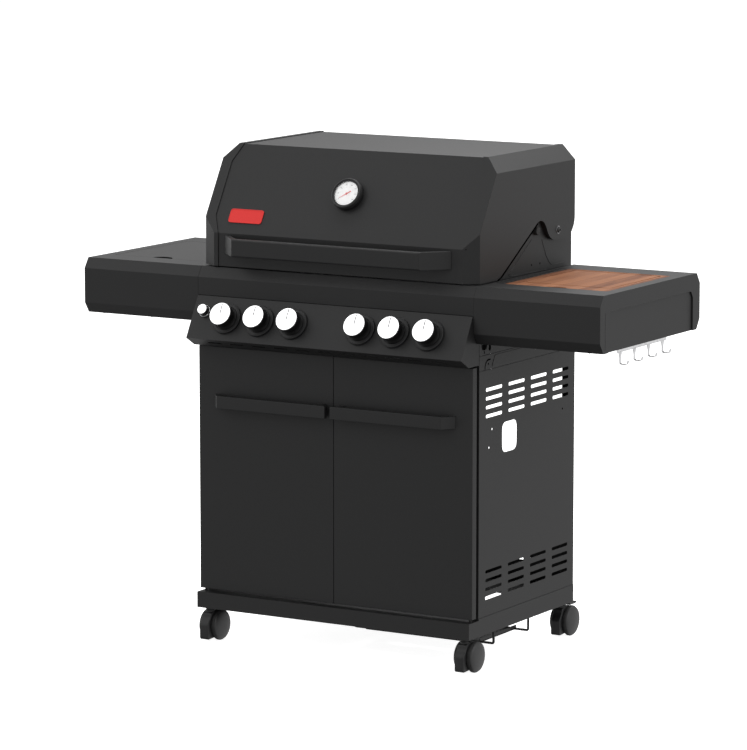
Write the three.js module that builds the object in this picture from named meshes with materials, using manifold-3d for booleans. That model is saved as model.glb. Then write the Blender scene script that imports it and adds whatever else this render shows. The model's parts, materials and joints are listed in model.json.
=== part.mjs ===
// Four-burner gas barbecue on a cabinet cart: hood, cook box, side shelves, doors and castors.
// Millimetres, +Z up, front faces -Y. The finished group stands on z = 0, centred on its footprint.
import * as THREE from 'three';
import { mergeVertices } from 'three/addons/utils/BufferGeometryUtils.js';
import Module from 'manifold-3d';

const wasm = await Module();
wasm.setup();

// ---------------------------------------------------------------- driving dimensions
const gap = 0.3; // between pieces that touch
const sheet = 1.5; // folded steel sheet
const seam = 1.5; // visible joint between two panels

// castors
const wheelDiameter = 75;
const wheelTread = 10.5; // width of one of the twin wheels
const castorClearance = 9.5; // wheel top to tray underside
const castorBodyWidth = 25;
const castorTrail = 22;
const castorInset = 23; // stem from the tray's corner edges
const castorStem = 22;
const castorPin = 11;
const axleDiameter = 8;

// cabinet
const bodyWidth = 755.6;
const bodyDepth = 474.6;
const cabinetHeight = 793.6; // tray top to counter top
const trayHeight = 39;
const trayRim = 4.2;
const trayFrontOverhang = 46.4;
const bottleHole = 310;
const bottleX = 161;
const bottleFromRear = 270.5;
const doorThickness = 19.6;
const doorGap = 7; // tray top to door
const doorHandleHeight = 30.5;
const doorHandleReach = 30;
const backPanelHeight = 206;
const slotLength = 79;
const slotHeight = 8;
const slotCorner = 2.6;
const slotPitchY = 110;
const slotPitchZ = 20.9;

// counter
const counterThickness = 134.7;
const counterChamferY = 16.6;
const counterChamferZ = 25;
const counterFrontOverhang = 32.3;
const counterRearOverhang = 4.5;
const shelfLength = 330.5;
const insetFromCabinet = 31.5; // shelf edges to the cutting board and the side burner lid
const insetFromEnd = 30;
const insetFromFront = 91.4;
const insetFromRear = 96;
const boardThickness = 18;

// control panel, measured down its sloped face
const panelTopDrop = 68.9; // counter top to panel top edge
const panelFaceRun = 53.8;
const panelFaceDrop = 97.6;
const panelReturnRun = 35.8;
const panelReturnDrop = 20.5;
const knobPitch = 93;
const knobDiameter = 55.5;
const knobHeight = 36;
const bezelRim = 10.75; // shows around the knob
const bezelHeight = 7;
const shaftDiameter = 8;
const igniterDiameter = 25;
const igniterHeight = 17;
const igniterStem = 12;
const igniterFromEnd = 33.8;
const igniterDown = 43;

// hood
const lidHeight = 286;
const lidLift = 3; // counter top to hood
const bandHeight = 80.5;
const slopeRun = 121;
const lidChamfer = 35.5; // along the top of each end
const cornerChamferX = 36.4;
const cornerChamferY = 21;
const lidWall = 1.6;
const capWall = 3.4;
const capRim = 10.3; // depth of the turned edge of an end cap
const capFrame = 47.8; // width of the end cap seen from the front
const handleHeight = 43;
const handleReach = 55;
const thermometerDiameter = 78;
const thermometerHeight = 17;
const hingePin = 10;

// cook box
const boxWallClearance = 11.8; // side plate to cabinet side
const boxDepthBelowCounter = 145;
const burnerDiameter = 25;
const burnerPitch = 2 * knobPitch;
const grateBar = 8;

// ---------------------------------------------------------------- places worked out from them
const half = bodyWidth / 2;
const bodyFront = -182.1;
const bodyRear = bodyFront + bodyDepth;
const castorHeight = wheelDiameter + castorClearance;
const trayTop = castorHeight + trayHeight;
const trayHalf = half + 0.8;
const trayFront = bodyFront - trayFrontOverhang;
const counterTop = trayTop + cabinetHeight;
const counterBottom = counterTop - counterThickness;
const counterFront = bodyFront - counterFrontOverhang;
const counterRear = bodyRear + counterRearOverhang;
const shelfInner = half + 1.7;
const shelfOuter = shelfInner + shelfLength;
const panelTop = counterTop - panelTopDrop;
const panelTopY = counterFront - 1.6;
const panelEdge = panelTop - panelFaceDrop;
const panelEdgeY = panelTopY - panelFaceRun;
const panelBottom = panelEdge - panelReturnDrop;
const panelBottomY = panelEdgeY + panelReturnRun;
const panelHalf = half + 0.8;
const panelFaceLength = Math.hypot(panelFaceRun, panelFaceDrop);
const panelTilt = Math.atan2(panelFaceRun, panelFaceDrop);
const doorBottom = trayTop + doorGap;
const doorTop = panelBottom - 4.1;
const doorFront = counterFront + 0.8;
const doorBack = doorFront + doorThickness;
const doorPivotX = half - 9.8;
const doorPivotY = doorFront + doorThickness / 2;
const lidBottom = counterTop + lidLift;
const lidTop = lidBottom + lidHeight;
const lidFront = bodyFront - 19.6;
const lidRear = bodyRear - 4.8;
const lidFold = lidBottom + bandHeight;
const lidCrest = lidFront + slopeRun;
const slopeLength = Math.hypot(slopeRun, lidTop - lidFold);
const slopeTilt = Math.atan2(slopeRun, lidTop - lidFold);
const lidSeamHalf = half - capFrame;
const hingeY = lidRear - 84.4;
const hingeZ = lidBottom + 88.7;
const plateOuter = half - boxWallClearance;
const boxHalf = plateOuter - sheet - gap;
const boxFront = bodyFront + 17;
const boxBottom = counterTop - boxDepthBelowCounter;
const boxTop = counterTop - 5;
const grateTop = counterTop - 16;
const insetInner = shelfInner + insetFromCabinet;
const insetOuter = shelfOuter - insetFromEnd;
const insetFront = counterFront + insetFromFront;
const insetRear = counterRear - insetFromRear;
const insetWidth = insetOuter - insetInner;
const insetDepth = insetRear - insetFront;
const bezelDiameter = knobDiameter + 2 * bezelRim;
const igniterX = half - igniterFromEnd;
const wheelRadius = wheelDiameter / 2;

// ---------------------------------------------------------------- finishes
function finish(color, roughness, metalness) {
  return new THREE.MeshStandardMaterial({ color, roughness, metalness });
}
const blackCoat = finish(0x3a3a3b, 0.55, 0.3);
const enamel = finish(0x1d1d1e, 0.35, 0.2);
const stainless = finish(0xb8babc, 0.3, 1);
const polished = finish(0xe6e8ea, 0.12, 1);
const blackPlastic = finish(0x141415, 0.45, 0);
const castIron = finish(0x222222, 0.8, 0.4);
const bamboo = finish(0xa2643c, 0.6, 0);
const redPaint = finish(0xc8282a, 0.4, 0);

// ---------------------------------------------------------------- solids
// Turns a closed geometry into a solid that can be joined and cut.
function solid(geometry) {
  const bare = geometry.clone();
  bare.deleteAttribute('normal');
  bare.deleteAttribute('uv');
  const merged = mergeVertices(bare, 1e-4);
  const index = merged.index.array;
  const triangles = [];
  for (let i = 0; i < index.length; i += 3) {
    const [a, b, c] = [index[i], index[i + 1], index[i + 2]];
    if (a !== b && b !== c && c !== a) triangles.push(a, b, c);
  }
  return new wasm.Manifold(new wasm.Mesh({
    numProp: 3,
    vertProperties: new Float32Array(merged.attributes.position.array),
    triVerts: new Uint32Array(triangles),
  }));
}

function geometryOf(body) {
  const mesh = body.getMesh();
  const geometry = new THREE.BufferGeometry();
  geometry.setAttribute('position', new THREE.BufferAttribute(Float32Array.from(mesh.vertProperties), 3));
  geometry.setIndex(new THREE.BufferAttribute(Uint32Array.from(mesh.triVerts), 1));
  geometry.computeVertexNormals();
  return geometry;
}

function join(parts) {
  return parts.reduce((whole, part) => whole.add(part));
}

function cut(body, cutters) {
  return cutters.reduce((left, cutter) => left.subtract(cutter), body);
}

function block(x0, x1, y0, y1, z0, z1) {
  const geometry = new THREE.BoxGeometry(Math.abs(x1 - x0), Math.abs(y1 - y0), Math.abs(z1 - z0));
  geometry.translate((x0 + x1) / 2, (y0 + y1) / 2, (z0 + z1) / 2);
  return solid(geometry);
}

function shapeOf(outline) {
  if (outline instanceof THREE.Shape) return outline;
  return new THREE.Shape(outline.map(([a, b]) => new THREE.Vector2(a, b)));
}

function extrusion(outline, depth, curveSegments = 6) {
  return new THREE.ExtrudeGeometry(shapeOf(outline), { depth, bevelEnabled: false, curveSegments });
}

const axesYZX = new THREE.Matrix4().makeBasis(
  new THREE.Vector3(0, 1, 0), new THREE.Vector3(0, 0, 1), new THREE.Vector3(1, 0, 0));

// Outline in (y, z), run along x.
function prismX(outline, x0, x1, curveSegments) {
  const geometry = extrusion(outline, x1 - x0, curveSegments);
  return solid(geometry.applyMatrix4(axesYZX).translate(x0, 0, 0));
}

// Outline in (x, z), run along y.
function prismY(outline, y0, y1, curveSegments) {
  const geometry = extrusion(outline, y1 - y0, curveSegments);
  return solid(geometry.rotateX(Math.PI / 2).translate(0, y1, 0));
}

// Outline in (x, y), run along z.
function prismZ(outline, z0, z1, curveSegments) {
  return solid(extrusion(outline, z1 - z0, curveSegments).translate(0, 0, z0));
}

// Profile of (radius, height) pairs turned about the z axis.
function turned(profile, segments = 20) {
  const points = profile.map(([radius, height]) => new THREE.Vector2(radius, height));
  return new THREE.LatheGeometry(points, segments).rotateX(Math.PI / 2);
}

function drumX(radius, x0, x1, y, z, segments = 16) {
  const geometry = new THREE.CylinderGeometry(radius, radius, x1 - x0, segments);
  return solid(geometry.rotateZ(Math.PI / 2).translate((x0 + x1) / 2, y, z));
}

function drumY(radius, y0, y1, x, z, segments = 16) {
  const geometry = new THREE.CylinderGeometry(radius, radius, y1 - y0, segments);
  return solid(geometry.translate(x, (y0 + y1) / 2, z));
}

function drumZ(radius, z0, z1, x, y, segments = 16) {
  const geometry = new THREE.CylinderGeometry(radius, radius, z1 - z0, segments);
  return solid(geometry.rotateX(Math.PI / 2).translate(x, y, (z0 + z1) / 2));
}

// Corner points moved sideways by a distance, to the left of the direction of travel.
function offsetPoints(points, distance, closed = false) {
  const count = points.length;
  const normal = (i, j) => {
    const [dx, dy] = [points[j][0] - points[i][0], points[j][1] - points[i][1]];
    const length = Math.hypot(dx, dy);
    return [-dy / length, dx / length];
  };
  return points.map(([x, y], i) => {
    const before = closed || i > 0 ? normal((i + count - 1) % count, i) : normal(i, i + 1);
    const after = closed || i < count - 1 ? normal(i, (i + 1) % count) : before;
    const scale = distance / (1 + before[0] * after[0] + before[1] * after[1]);
    return [x + (before[0] + after[0]) * scale, y + (before[1] + after[1]) * scale];
  });
}

// Closed outline of a sheet that follows folds, its thickness to the left of the path.
function folded(points, thickness = sheet) {
  return [...points, ...offsetPoints(points, thickness).reverse()];
}

function roundedBox(width, height, radius) {
  const [w, h] = [width / 2, height / 2];
  const shape = new THREE.Shape();
  shape.moveTo(-w + radius, -h);
  shape.lineTo(w - radius, -h);
  shape.absarc(w - radius, -h + radius, radius, -Math.PI / 2, 0);
  shape.absarc(w - radius, h - radius, radius, 0, Math.PI / 2);
  shape.absarc(-w + radius, h - radius, radius, Math.PI / 2, Math.PI);
  shape.absarc(-w + radius, -h + radius, radius, Math.PI, 1.5 * Math.PI);
  return shape;
}

// Opening with its corners cut at 45 degrees.
function slot(x, y, width, height, corner) {
  const [w, h] = [width / 2, height / 2];
  const points = [[-w, -h + corner], [-w + corner, -h], [w - corner, -h], [w, -h + corner],
    [w, h - corner], [w - corner, h], [-w + corner, h], [-w, h - corner]];
  return new THREE.Path(points.map(([dx, dy]) => new THREE.Vector2(x + dx, y + dy)));
}

function hole(x, y, width, height, radius, divisions = 1) {
  const points = roundedBox(width, height, radius).getPoints(divisions);
  return new THREE.Path(points.map((point) => point.add(new THREE.Vector2(x, y))));
}

// Round bar in straight runs, with a ball at each bend.
function bentBar(points, radius, sides = 8) {
  const corners = points.map((point) => new THREE.Vector3(...point));
  const runs = corners.slice(1).map((end, i) => {
    const start = corners[i];
    const run = new THREE.CylinderGeometry(radius, radius, start.distanceTo(end), sides);
    const turn = new THREE.Quaternion().setFromUnitVectors(
      new THREE.Vector3(0, 1, 0), end.clone().sub(start).normalize());
    const middle = start.clone().add(end).multiplyScalar(0.5);
    return solid(run.applyQuaternion(turn).translate(middle.x, middle.y, middle.z));
  });
  const bends = corners.slice(1, -1).map((corner) => solid(
    new THREE.SphereGeometry(radius, sides, sides / 2).translate(corner.x, corner.y, corner.z)));
  return join([...runs, ...bends]);
}

const grill = new THREE.Group();
const sides = [['left', -1], ['right', 1]];

function piece(name, shape, material, parent = grill) {
  const geometry = shape instanceof THREE.BufferGeometry ? geometryOf(solid(shape)) : geometryOf(shape);
  const mesh = new THREE.Mesh(geometry, material);
  mesh.name = name;
  parent.add(mesh);
  return mesh;
}

function mirrored(body) {
  return body.mirror([1, 0, 0]);
}

function forSide(body, side) {
  return side > 0 ? body : mirrored(body);
}

// ---------------------------------------------------------------- cart
const castorX = trayHalf - castorInset;
const castorFrontY = trayFront + castorInset - 1.5;
const castorRearY = bodyRear - castorInset + 0.5;
const castorPlaces = [
  ['front_left', -castorX, castorFrontY, false],
  ['front_right', castorX, castorFrontY, false],
  ['rear_left', -castorX, castorRearY, true],
  ['rear_right', castorX, castorRearY, true],
];
const bottleY = bodyRear - bottleFromRear;

function makeBaseTray() {
  const outer = block(-trayHalf, trayHalf, trayFront, bodyRear, castorHeight, trayTop);
  const inner = block(-trayHalf + sheet, trayHalf - sheet, trayFront + sheet, bodyRear - sheet,
    castorHeight - 1, trayTop - sheet);
  const rims = sides.map(([, side]) => forSide(
    block(trayHalf - 8, trayHalf, bodyFront, bodyRear, trayTop - sheet / 2, trayTop + trayRim), side));
  const plates = castorPlaces.map(([, x, y]) => {
    const outward = Math.sign(x) * (castorInset - sheet / 2);
    const edgeY = y < 0 ? trayFront + sheet / 2 : bodyRear - sheet / 2;
    return block(x + outward, x - Math.sign(x) * 32, edgeY, y - Math.sign(y) * 32,
      castorHeight, castorHeight + 3);
  });
  const pinHoles = castorPlaces.map(([, x, y]) => drumZ(castorPin / 2 + gap, castorHeight - 1,
    castorHeight + 4, x, y));
  const bottle = drumZ(bottleHole / 2, trayTop - 10, trayTop + 10, bottleX, bottleY, 32);
  const doorPins = sides.map(([, side]) => drumZ(3 + gap, trayTop - 10, trayTop + 10,
    side * doorPivotX, doorPivotY, 12));
  const tray = join([outer.subtract(inner), ...rims, ...plates]);
  piece('base_tray', cut(tray, [...pinHoles, bottle, ...doorPins]), blackCoat);
}

function makeSidePanel(name, side) {
  const bottom = trayTop + trayRim + gap;
  const top = counterTop - 36;
  const outline = new THREE.Shape();
  outline.moveTo(bodyFront, bottom);
  outline.lineTo(bodyRear, bottom);
  outline.lineTo(bodyRear, top);
  outline.lineTo(bodyFront, top);
  const firstSlot = 72.6;
  const lastSlot = bodyDepth - slotLength / 2 - 12;
  for (let fromFront = firstSlot; fromFront < lastSlot; fromFront += slotPitchY) {
    for (let row = 0; row < 4; row += 1) {
      const y = bodyFront + fromFront;
      const upper = counterTop - 250 - row * slotPitchZ;
      const lower = trayTop + 110.5 - row * slotPitchZ;
      outline.holes.push(slot(y, upper, slotLength, slotHeight, slotCorner));
      outline.holes.push(slot(y, lower, slotLength, slotHeight, slotCorner));
    }
  }
  outline.holes.push(hole(bodyFront + 148.1, counterTop - 374, 72, 72, 20, 3));
  const railHole = counterTop - 141;
  outline.holes.push(hole(bodyFront + 23.6, railHole, 27, 27, 13));
  outline.holes.push(slot(bodyFront + 50.2, railHole - 4, 11, 26, 3));
  const screwHole = 5.5;
  const screwPlaces = [[63.5, 346], [48.9, 388.5], [bodyDepth - 62, 346], [51.7, 191.5], [23.7, 159.5]];
  for (const [fromFront, down] of screwPlaces) {
    outline.holes.push(slot(bodyFront + fromFront, counterTop - down, screwHole, screwHole, 1.6));
  }
  const wall = prismX(outline, half - sheet, half, 3);
  const overlap = 0.2;
  const inner = half - sheet + overlap;
  const frontLip = block(inner - 22, inner, bodyFront, bodyFront + sheet, bottom, top);
  const rearLip = block(half - 34, inner, bodyRear - sheet, bodyRear, bottom, boxBottom - 8);
  const foot = block(inner - 20, inner, bodyFront, bodyRear, bottom, bottom + sheet);
  const railBottom = counterTop - 202;
  const band = prismX([[bodyFront + 57, railBottom + 3], [bodyRear - 16, railBottom + 3],
    [bodyRear - 16, railBottom + 32], [bodyFront + 70, railBottom + 32]], half - overlap, half + 0.8);
  const groove = block(half - sheet / 2, half + 2, bodyFront - 1, bodyRear + 1, railBottom - 1, railBottom);
  const upperGroove = block(half - sheet / 2, half + 2, bodyFront - 1, bodyRear + 1,
    railBottom + 35, railBottom + 36);
  const bend = [[27, 204.5], [28.9, 193.1], [35.1, 183.6], [41.2, 179.8], [53.6, 179.1]];
  const bendWidth = 4;
  const bendEdge = offsetPoints(
    bend.map(([fromFront, down]) => [bodyFront + fromFront, counterTop - down]), bendWidth / 2);
  const curved = prismX(folded(bendEdge, -bendWidth), half - 5, half + 5);
  const body = join([wall, frontLip, rearLip, foot, band]);
  piece(name, forSide(cut(body, [groove, upperGroove, curved]), side), blackCoat);
}

function makeBackPanel() {
  const reach = half - 34 - gap;
  const bottom = trayTop + gap;
  const outline = new THREE.Shape();
  outline.moveTo(-reach, bottom);
  outline.lineTo(reach, bottom);
  outline.lineTo(reach, bottom + backPanelHeight);
  outline.lineTo(-reach, bottom + backPanelHeight);
  const columns = Math.floor((2 * reach - 60) / slotPitchY);
  for (let column = 0; column < columns; column += 1) {
    for (let row = 0; row < 3; row += 1) {
      const x = (column - (columns - 1) / 2) * slotPitchY;
      outline.holes.push(slot(x, bottom + 56 + row * slotPitchZ, slotLength, slotHeight, slotCorner));
    }
  }
  const wall = prismY(outline, bodyRear - sheet, bodyRear, 3);
  const top = bottom + backPanelHeight;
  const hem = block(-reach, reach, bodyRear - 18, bodyRear - sheet + 0.2, top - sheet, top);
  const foot = block(-reach, reach, bodyRear - 18, bodyRear - sheet + 0.2, bottom, bottom + sheet);
  piece('back_panel', join([wall, hem, foot]), blackCoat);
}

// Two bent wires under the tray carry a plate that the gas bottle stands on.
function makeBottleCradle() {
  const wire = 3;
  const low = castorHeight - 36.5;
  const under = trayTop - sheet - gap;
  const [x0, x1] = [bottleX - 191, bottleX + 191];
  const wires = [-86, 86].map((offset) => bentBar([
    [x0, bottleY + offset, under], [x0, bottleY + offset, low],
    [x1, bottleY + offset, low], [x1, bottleY + offset, under]], wire));
  const plate = block(bottleX - 157, bottleX + 157, bottleY - 97, bottleY + 98, low - 2, low + 1);
  const lip = block(bottleX - 157, bottleX - 155, bottleY - 97, bottleY + 98, low - 2, low + 8);
  piece('bottle_cradle', join([plate, lip, mirroredAbout(lip, bottleX), ...wires]), blackCoat);
}

function mirroredAbout(body, x) {
  return mirrored(body.translate([-x, 0, 0])).translate([x, 0, 0]);
}

// ---------------------------------------------------------------- castors
function makeCastors() {
  const radius = wheelRadius;
  const bodyHalf = castorBodyWidth / 2;
  for (const [name, x, y, braked] of castorPlaces) {
    const place = new THREE.Group();
    place.position.set(x, y, 0);
    grill.add(place);
    const crown = wheelDiameter;
    const heel = castorTrail + radius;
    const shell = prismX([[-28, 7], [-28, crown - 29], [-16, crown - 15], [-14, crown - 3],
      [16, crown + 1], [heel - 25.5, crown - 5], [heel - 11.5, crown - 19], [heel - 7.5, crown - 35],
      [heel - 19.5, 12], [20, 9]], -bodyHalf, bodyHalf);
    const stem = drumZ(castorStem / 2, crown - 25, castorHeight - gap, 0, 0, 14);
    const pin = drumZ(castorPin / 2, crown - 15, castorHeight + 16, 0, 0, 10);
    const bore = drumX(axleDiameter / 2 + 2 * gap, -bodyHalf - 9, bodyHalf + 9, castorTrail, radius, 10);
    const brakeSeat = block(-20, 20, castorTrail + 8, heel, crown - 9.5, crown + 15);
    const fork = cut(join([shell, stem, pin]), braked ? [bore, brakeSeat] : [bore]);
    piece(`castor_fork_${name}`, fork, blackPlastic, place);
    const wheel = (side) => forSide(solid(turned([[0, 0], [radius, 0], [radius, wheelTread - 4],
      [radius - 5, wheelTread - 1.2], [0, wheelTread]], 24)
      .rotateY(Math.PI / 2).translate(bodyHalf + gap, castorTrail, radius)), side);
    const axle = drumX(axleDiameter / 2, -bodyHalf - 2, bodyHalf + 2, castorTrail, radius, 10);
    piece(`castor_wheels_${name}`, join([wheel(-1), wheel(1), axle]), blackPlastic, place);
    if (braked) {
      const lever = prismX([[8, 0.8], [10, 4.8], [40, 4.8], [44, 1.5], [41, 0], [22, 0.4]]
        .map(([behindAxle, aboveWheel]) => [castorTrail + behindAxle, crown + aboveWheel]), -17, 17);
      piece(`castor_brake_${name}`, lever, blackPlastic, place);
    }
  }
}

// ---------------------------------------------------------------- doors
function makeDoor(name, side) {
  const inner = seam / 2;
  const outer = half + 0.4;
  const skin = block(inner, outer, doorFront, doorBack, doorBottom, doorTop);
  const hollow = block(inner + sheet, outer - sheet, doorFront + sheet, doorBack - sheet,
    doorBottom + sheet, doorTop - sheet);
  const lip = 18;
  const opening = block(inner + lip, outer - lip, doorFront + sheet, doorBack + 1,
    doorBottom + lip, doorTop - lip);
  const pinLength = doorGap + sheet + gap;
  const lowPin = drumZ(3, doorBottom - pinLength, doorBottom + 1, doorPivotX, doorPivotY, 12);
  const topPin = drumZ(3, doorTop - 1, doorTop + 6, doorPivotX, doorPivotY, 12);
  const door = join([cut(skin, [hollow, opening]), lowPin, topPin]);
  piece(name, forSide(door, side), blackCoat);
}

function makeDoorHandle(name, side) {
  const face = doorFront - doorHandleReach;
  const bar = 11;
  const top = doorTop - 115;
  const outer = half - 44;
  const bend = outer - 24;
  const outline = [[7, face], [bend, face], [outer, doorFront - gap], [outer - 14, doorFront - gap],
    [bend - 5, face + bar], [32, face + bar], [32, doorFront - gap], [20, doorFront - gap],
    [20, face + bar], [7, face + bar]];
  const bow = prismZ(outline, top - doorHandleHeight, top);
  piece(name, forSide(bow, side), blackCoat);
}

// ---------------------------------------------------------------- counter front and control panel
function makeCenterFascia() {
  const end = shelfInner - gap;
  const path = [[boxFront - 3, counterTop - 28], [boxFront - 3, counterTop],
    [counterFront + counterChamferY, counterTop], [counterFront, counterTop - counterChamferZ],
    [counterFront, panelTop + 0.8], [counterFront + 24, panelTop + 0.8]];
  piece('center_fascia', prismX(folded(path), -end, end), blackCoat);
}

// Local frame of the sloped panel: x across, y up the slope from its top edge, z out of the face.
const panelFrame = new THREE.Group();
panelFrame.position.set(0, panelTopY, panelTop);
panelFrame.rotation.x = Math.PI / 2 - panelTilt;
panelFrame.updateMatrix();
grill.add(panelFrame);

const knobDown = -panelFaceLength / 2;
const knobXs = [-3, -2, -1, 1, 2, 3].map((step) => step * knobPitch);

function onPanel(geometry) {
  return solid(geometry.applyMatrix4(panelFrame.matrix));
}

function panelDrum(radius, from, to, x, y, segments = 12) {
  const geometry = new THREE.CylinderGeometry(radius, radius, to - from, segments);
  return geometry.rotateX(Math.PI / 2).translate(x, y, (from + to) / 2);
}

function makeControlPanel() {
  const back = bodyFront - 2.9;
  const outline = [[panelTopY, panelTop], [panelEdgeY, panelEdge], [panelBottomY, panelBottom],
    [back, panelBottom], [back, panelTop]];
  const outer = prismX(outline, -panelHalf, panelHalf);
  const inset = offsetPoints(outline, sheet, true);
  inset[3] = [back + 5, inset[3][1]];
  inset[4] = [back + 5, inset[4][1]];
  const hollow = prismX(inset, -panelHalf + sheet, panelHalf - sheet);
  const shaftHoles = knobXs.map((x) => onPanel(panelDrum(shaftDiameter / 2 + 3, -8, 8, x, knobDown)));
  const igniterHole = onPanel(panelDrum(igniterStem / 2 + gap, -8, 8, -igniterX, -igniterDown));
  const ventCount = 11;
  const ventPitch = (2 * panelHalf - 80) / ventCount;
  const along = Math.atan2(panelReturnDrop, panelReturnRun);
  const vents = [];
  for (let i = 0; i < ventCount; i += 1) {
    const vent = new THREE.BoxGeometry(ventPitch * 0.62, 8, 20);
    vent.rotateX(-along);
    vent.translate((i - (ventCount - 1) / 2) * ventPitch, panelEdgeY + panelReturnRun * 0.5,
      panelEdge - panelReturnDrop * 0.5);
    vents.push(solid(vent));
  }
  const pinHoles = sides.map(([, side]) => drumZ(3 + gap, panelBottom - 5, panelBottom + 8,
    side * doorPivotX, doorPivotY, 12));
  piece('control_panel', cut(outer, [hollow, ...shaftHoles, igniterHole, ...vents, ...pinHoles]), blackCoat);
}

function makeKnobs() {
  const radius = knobDiameter / 2;
  const bezel = turned([[shaftDiameter / 2 + 4, gap], [bezelDiameter / 2, gap],
    [bezelDiameter / 2 - 1.5, bezelHeight], [radius + 3.4, bezelHeight], [radius + 2.4, gap + 2],
    [shaftDiameter / 2 + 4, gap + 2], [shaftDiameter / 2 + 4, gap]], 18);
  const bore = shaftDiameter / 2 + gap;
  const knob = turned([[0, knobHeight - 6], [bore, knobHeight - 6], [bore, 4], [radius + 1.2, 4],
    [radius + 1.2, 9], [radius, knobHeight - 0.8], [radius - 0.8, knobHeight], [0, knobHeight]], 20);
  knobXs.forEach((x, i) => {
    piece(`knob_bezel_${i + 1}`, bezel, blackPlastic, panelFrame).position.set(x, knobDown, 0);
    piece(`knob_${i + 1}`, knob, polished, panelFrame).position.set(x, knobDown, 0);
  });
  const stem = igniterStem / 2;
  const button = turned([[0, -12], [stem, -12], [stem, 5], [igniterDiameter / 2 - 1.5, 5],
    [igniterDiameter / 2, 6.5], [igniterDiameter / 2, igniterHeight - 1],
    [igniterDiameter / 2 - 1, igniterHeight], [0, igniterHeight]], 16);
  piece('igniter_button', button, polished, panelFrame).position.set(-igniterX, -igniterDown, 0);
}

function makeGasManifold() {
  const parts = [];
  const pipe = new THREE.CylinderGeometry(10, 10, 6 * knobPitch + 60, 10);
  parts.push(onPanel(pipe.rotateZ(Math.PI / 2).translate(0, knobDown, -44)));
  for (const x of knobXs) {
    const valve = new THREE.BoxGeometry(26, 26, 32);
    parts.push(onPanel(valve.translate(x, knobDown, -sheet - gap - 16 - 1)));
    parts.push(onPanel(panelDrum(shaftDiameter / 2, -20, knobHeight - 8, x, knobDown, 12)));
  }
  piece('gas_manifold', join(parts), stainless);
}

// ---------------------------------------------------------------- cook box
function makeFirebox() {
  const wallTop = boxTop;
  const rise = 33;
  const trough = 120;
  const section = [[boxHalf, wallTop], [boxHalf, boxBottom + rise], [trough, boxBottom],
    [-trough, boxBottom], [-boxHalf, boxBottom + rise], [-boxHalf, wallTop]];
  const outer = prismY(section, boxFront, bodyRear);
  const innerSection = offsetPoints(section, -sheet, true);
  innerSection[0][1] = wallTop + 5;
  innerSection[5][1] = wallTop + 5;
  const hollow = prismY(innerSection, boxFront + sheet, bodyRear - sheet);
  const backTop = lidBottom + 165;
  const hoodBack = block(-boxHalf, boxHalf, bodyRear - sheet, bodyRear, wallTop - 5, backTop);
  const ledgeTop = grateTop - grateBar - gap - 2;
  const ledges = [
    block(-boxHalf + 1, boxHalf - 1, boxFront + sheet / 2, boxFront + 14, ledgeTop - sheet, ledgeTop),
    block(-boxHalf + 1, boxHalf - 1, bodyRear - 15, bodyRear - sheet / 2, ledgeTop - sheet, ledgeTop)];
  const burnerHoles = burnerXs.map((x) => drumY(burnerDiameter / 2 + 2, boxFront - 5, boxFront + 5,
    x, burnerZ, 20));
  const drain = block(-trough + 30, trough - 30, boxFront + 110, bodyRear - 110,
    boxBottom - 5, boxBottom + 5);
  const railSection = [[trayReach + 14, boxBottom + 4.5], [trayReach + 14, boxBottom - 28],
    [trayReach - 2, boxBottom - 28], [trayReach - 2, boxBottom - 26.3], [trayReach + 12.3, boxBottom - 26.3],
    [trayReach + 12.3, boxBottom + 4.5]];
  const rails = sides.map(([, side]) => forSide(
    prismY(railSection, boxFront + 60, bodyRear - 40), side));
  const body = join([outer.subtract(hollow), hoodBack, ...ledges]);
  piece('firebox', join([cut(body, [...burnerHoles, drain]), ...rails]), enamel);
}

const burnerXs = [-1.5, -0.5, 0.5, 1.5].map((step) => step * burnerPitch);
const burnerZ = counterTop - 82;
const trayReach = 134;

function makeGreaseTray() {
  const [y0, y1] = [boxFront + 62, bodyRear - 42];
  const floor = boxBottom - 25.7;
  const rim = floor + 20;
  const outer = block(-trayReach + 10, trayReach - 10, y0, y1, floor, rim);
  const inner = block(-trayReach + 11.2, trayReach - 11.2, y0 + 1.2, y1 - 1.2, floor + 1.2, rim + 5);
  const runners = sides.map(([, side]) => forSide(
    block(trayReach - 10.6, trayReach + 11, y0, y1, floor, floor + 1.2), side));
  const pull = block(-45, 45, y1 - 0.6, y1 + 16, rim - 1.2, rim);
  piece('grease_tray', join([outer.subtract(inner), ...runners, pull]), stainless);
}

// Side plate of the cook box: it carries the hood's hinge stud and its resting stud.
function makeFireboxSide(name, side) {
  const low = counterTop - 60;
  const outline = new THREE.Shape();
  outline.moveTo(boxFront, low);
  outline.lineTo(bodyRear, low);
  outline.lineTo(bodyRear, hingeZ + 36);
  outline.lineTo(hingeY - 40, hingeZ + 44);
  outline.lineTo(hingeY - 130, hingeZ + 40);
  outline.lineTo(boxFront, counterTop + 22);
  const wall = prismX(outline, plateOuter - sheet, plateOuter);
  const stud = drumX(hingePin / 2, plateOuter - 1, half + 1, hingeY, hingeZ, 20);
  const head = drumX(hingePin / 2 + 2.5, half + gap, half + 3, hingeY, hingeZ, 20);
  const rest = drumX(9, plateOuter - 1, plateOuter + 9, hingeY - 95.3, hingeZ + 5.7, 20);
  const screwHoles = [-112, -70].map((offset) => drumX(2.6, plateOuter - 5, plateOuter + 5,
    hingeY + offset, counterTop + 17.6, 10));
  piece(name, forSide(cut(join([wall, stud, head, rest]), screwHoles), side), blackCoat);
}

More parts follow.
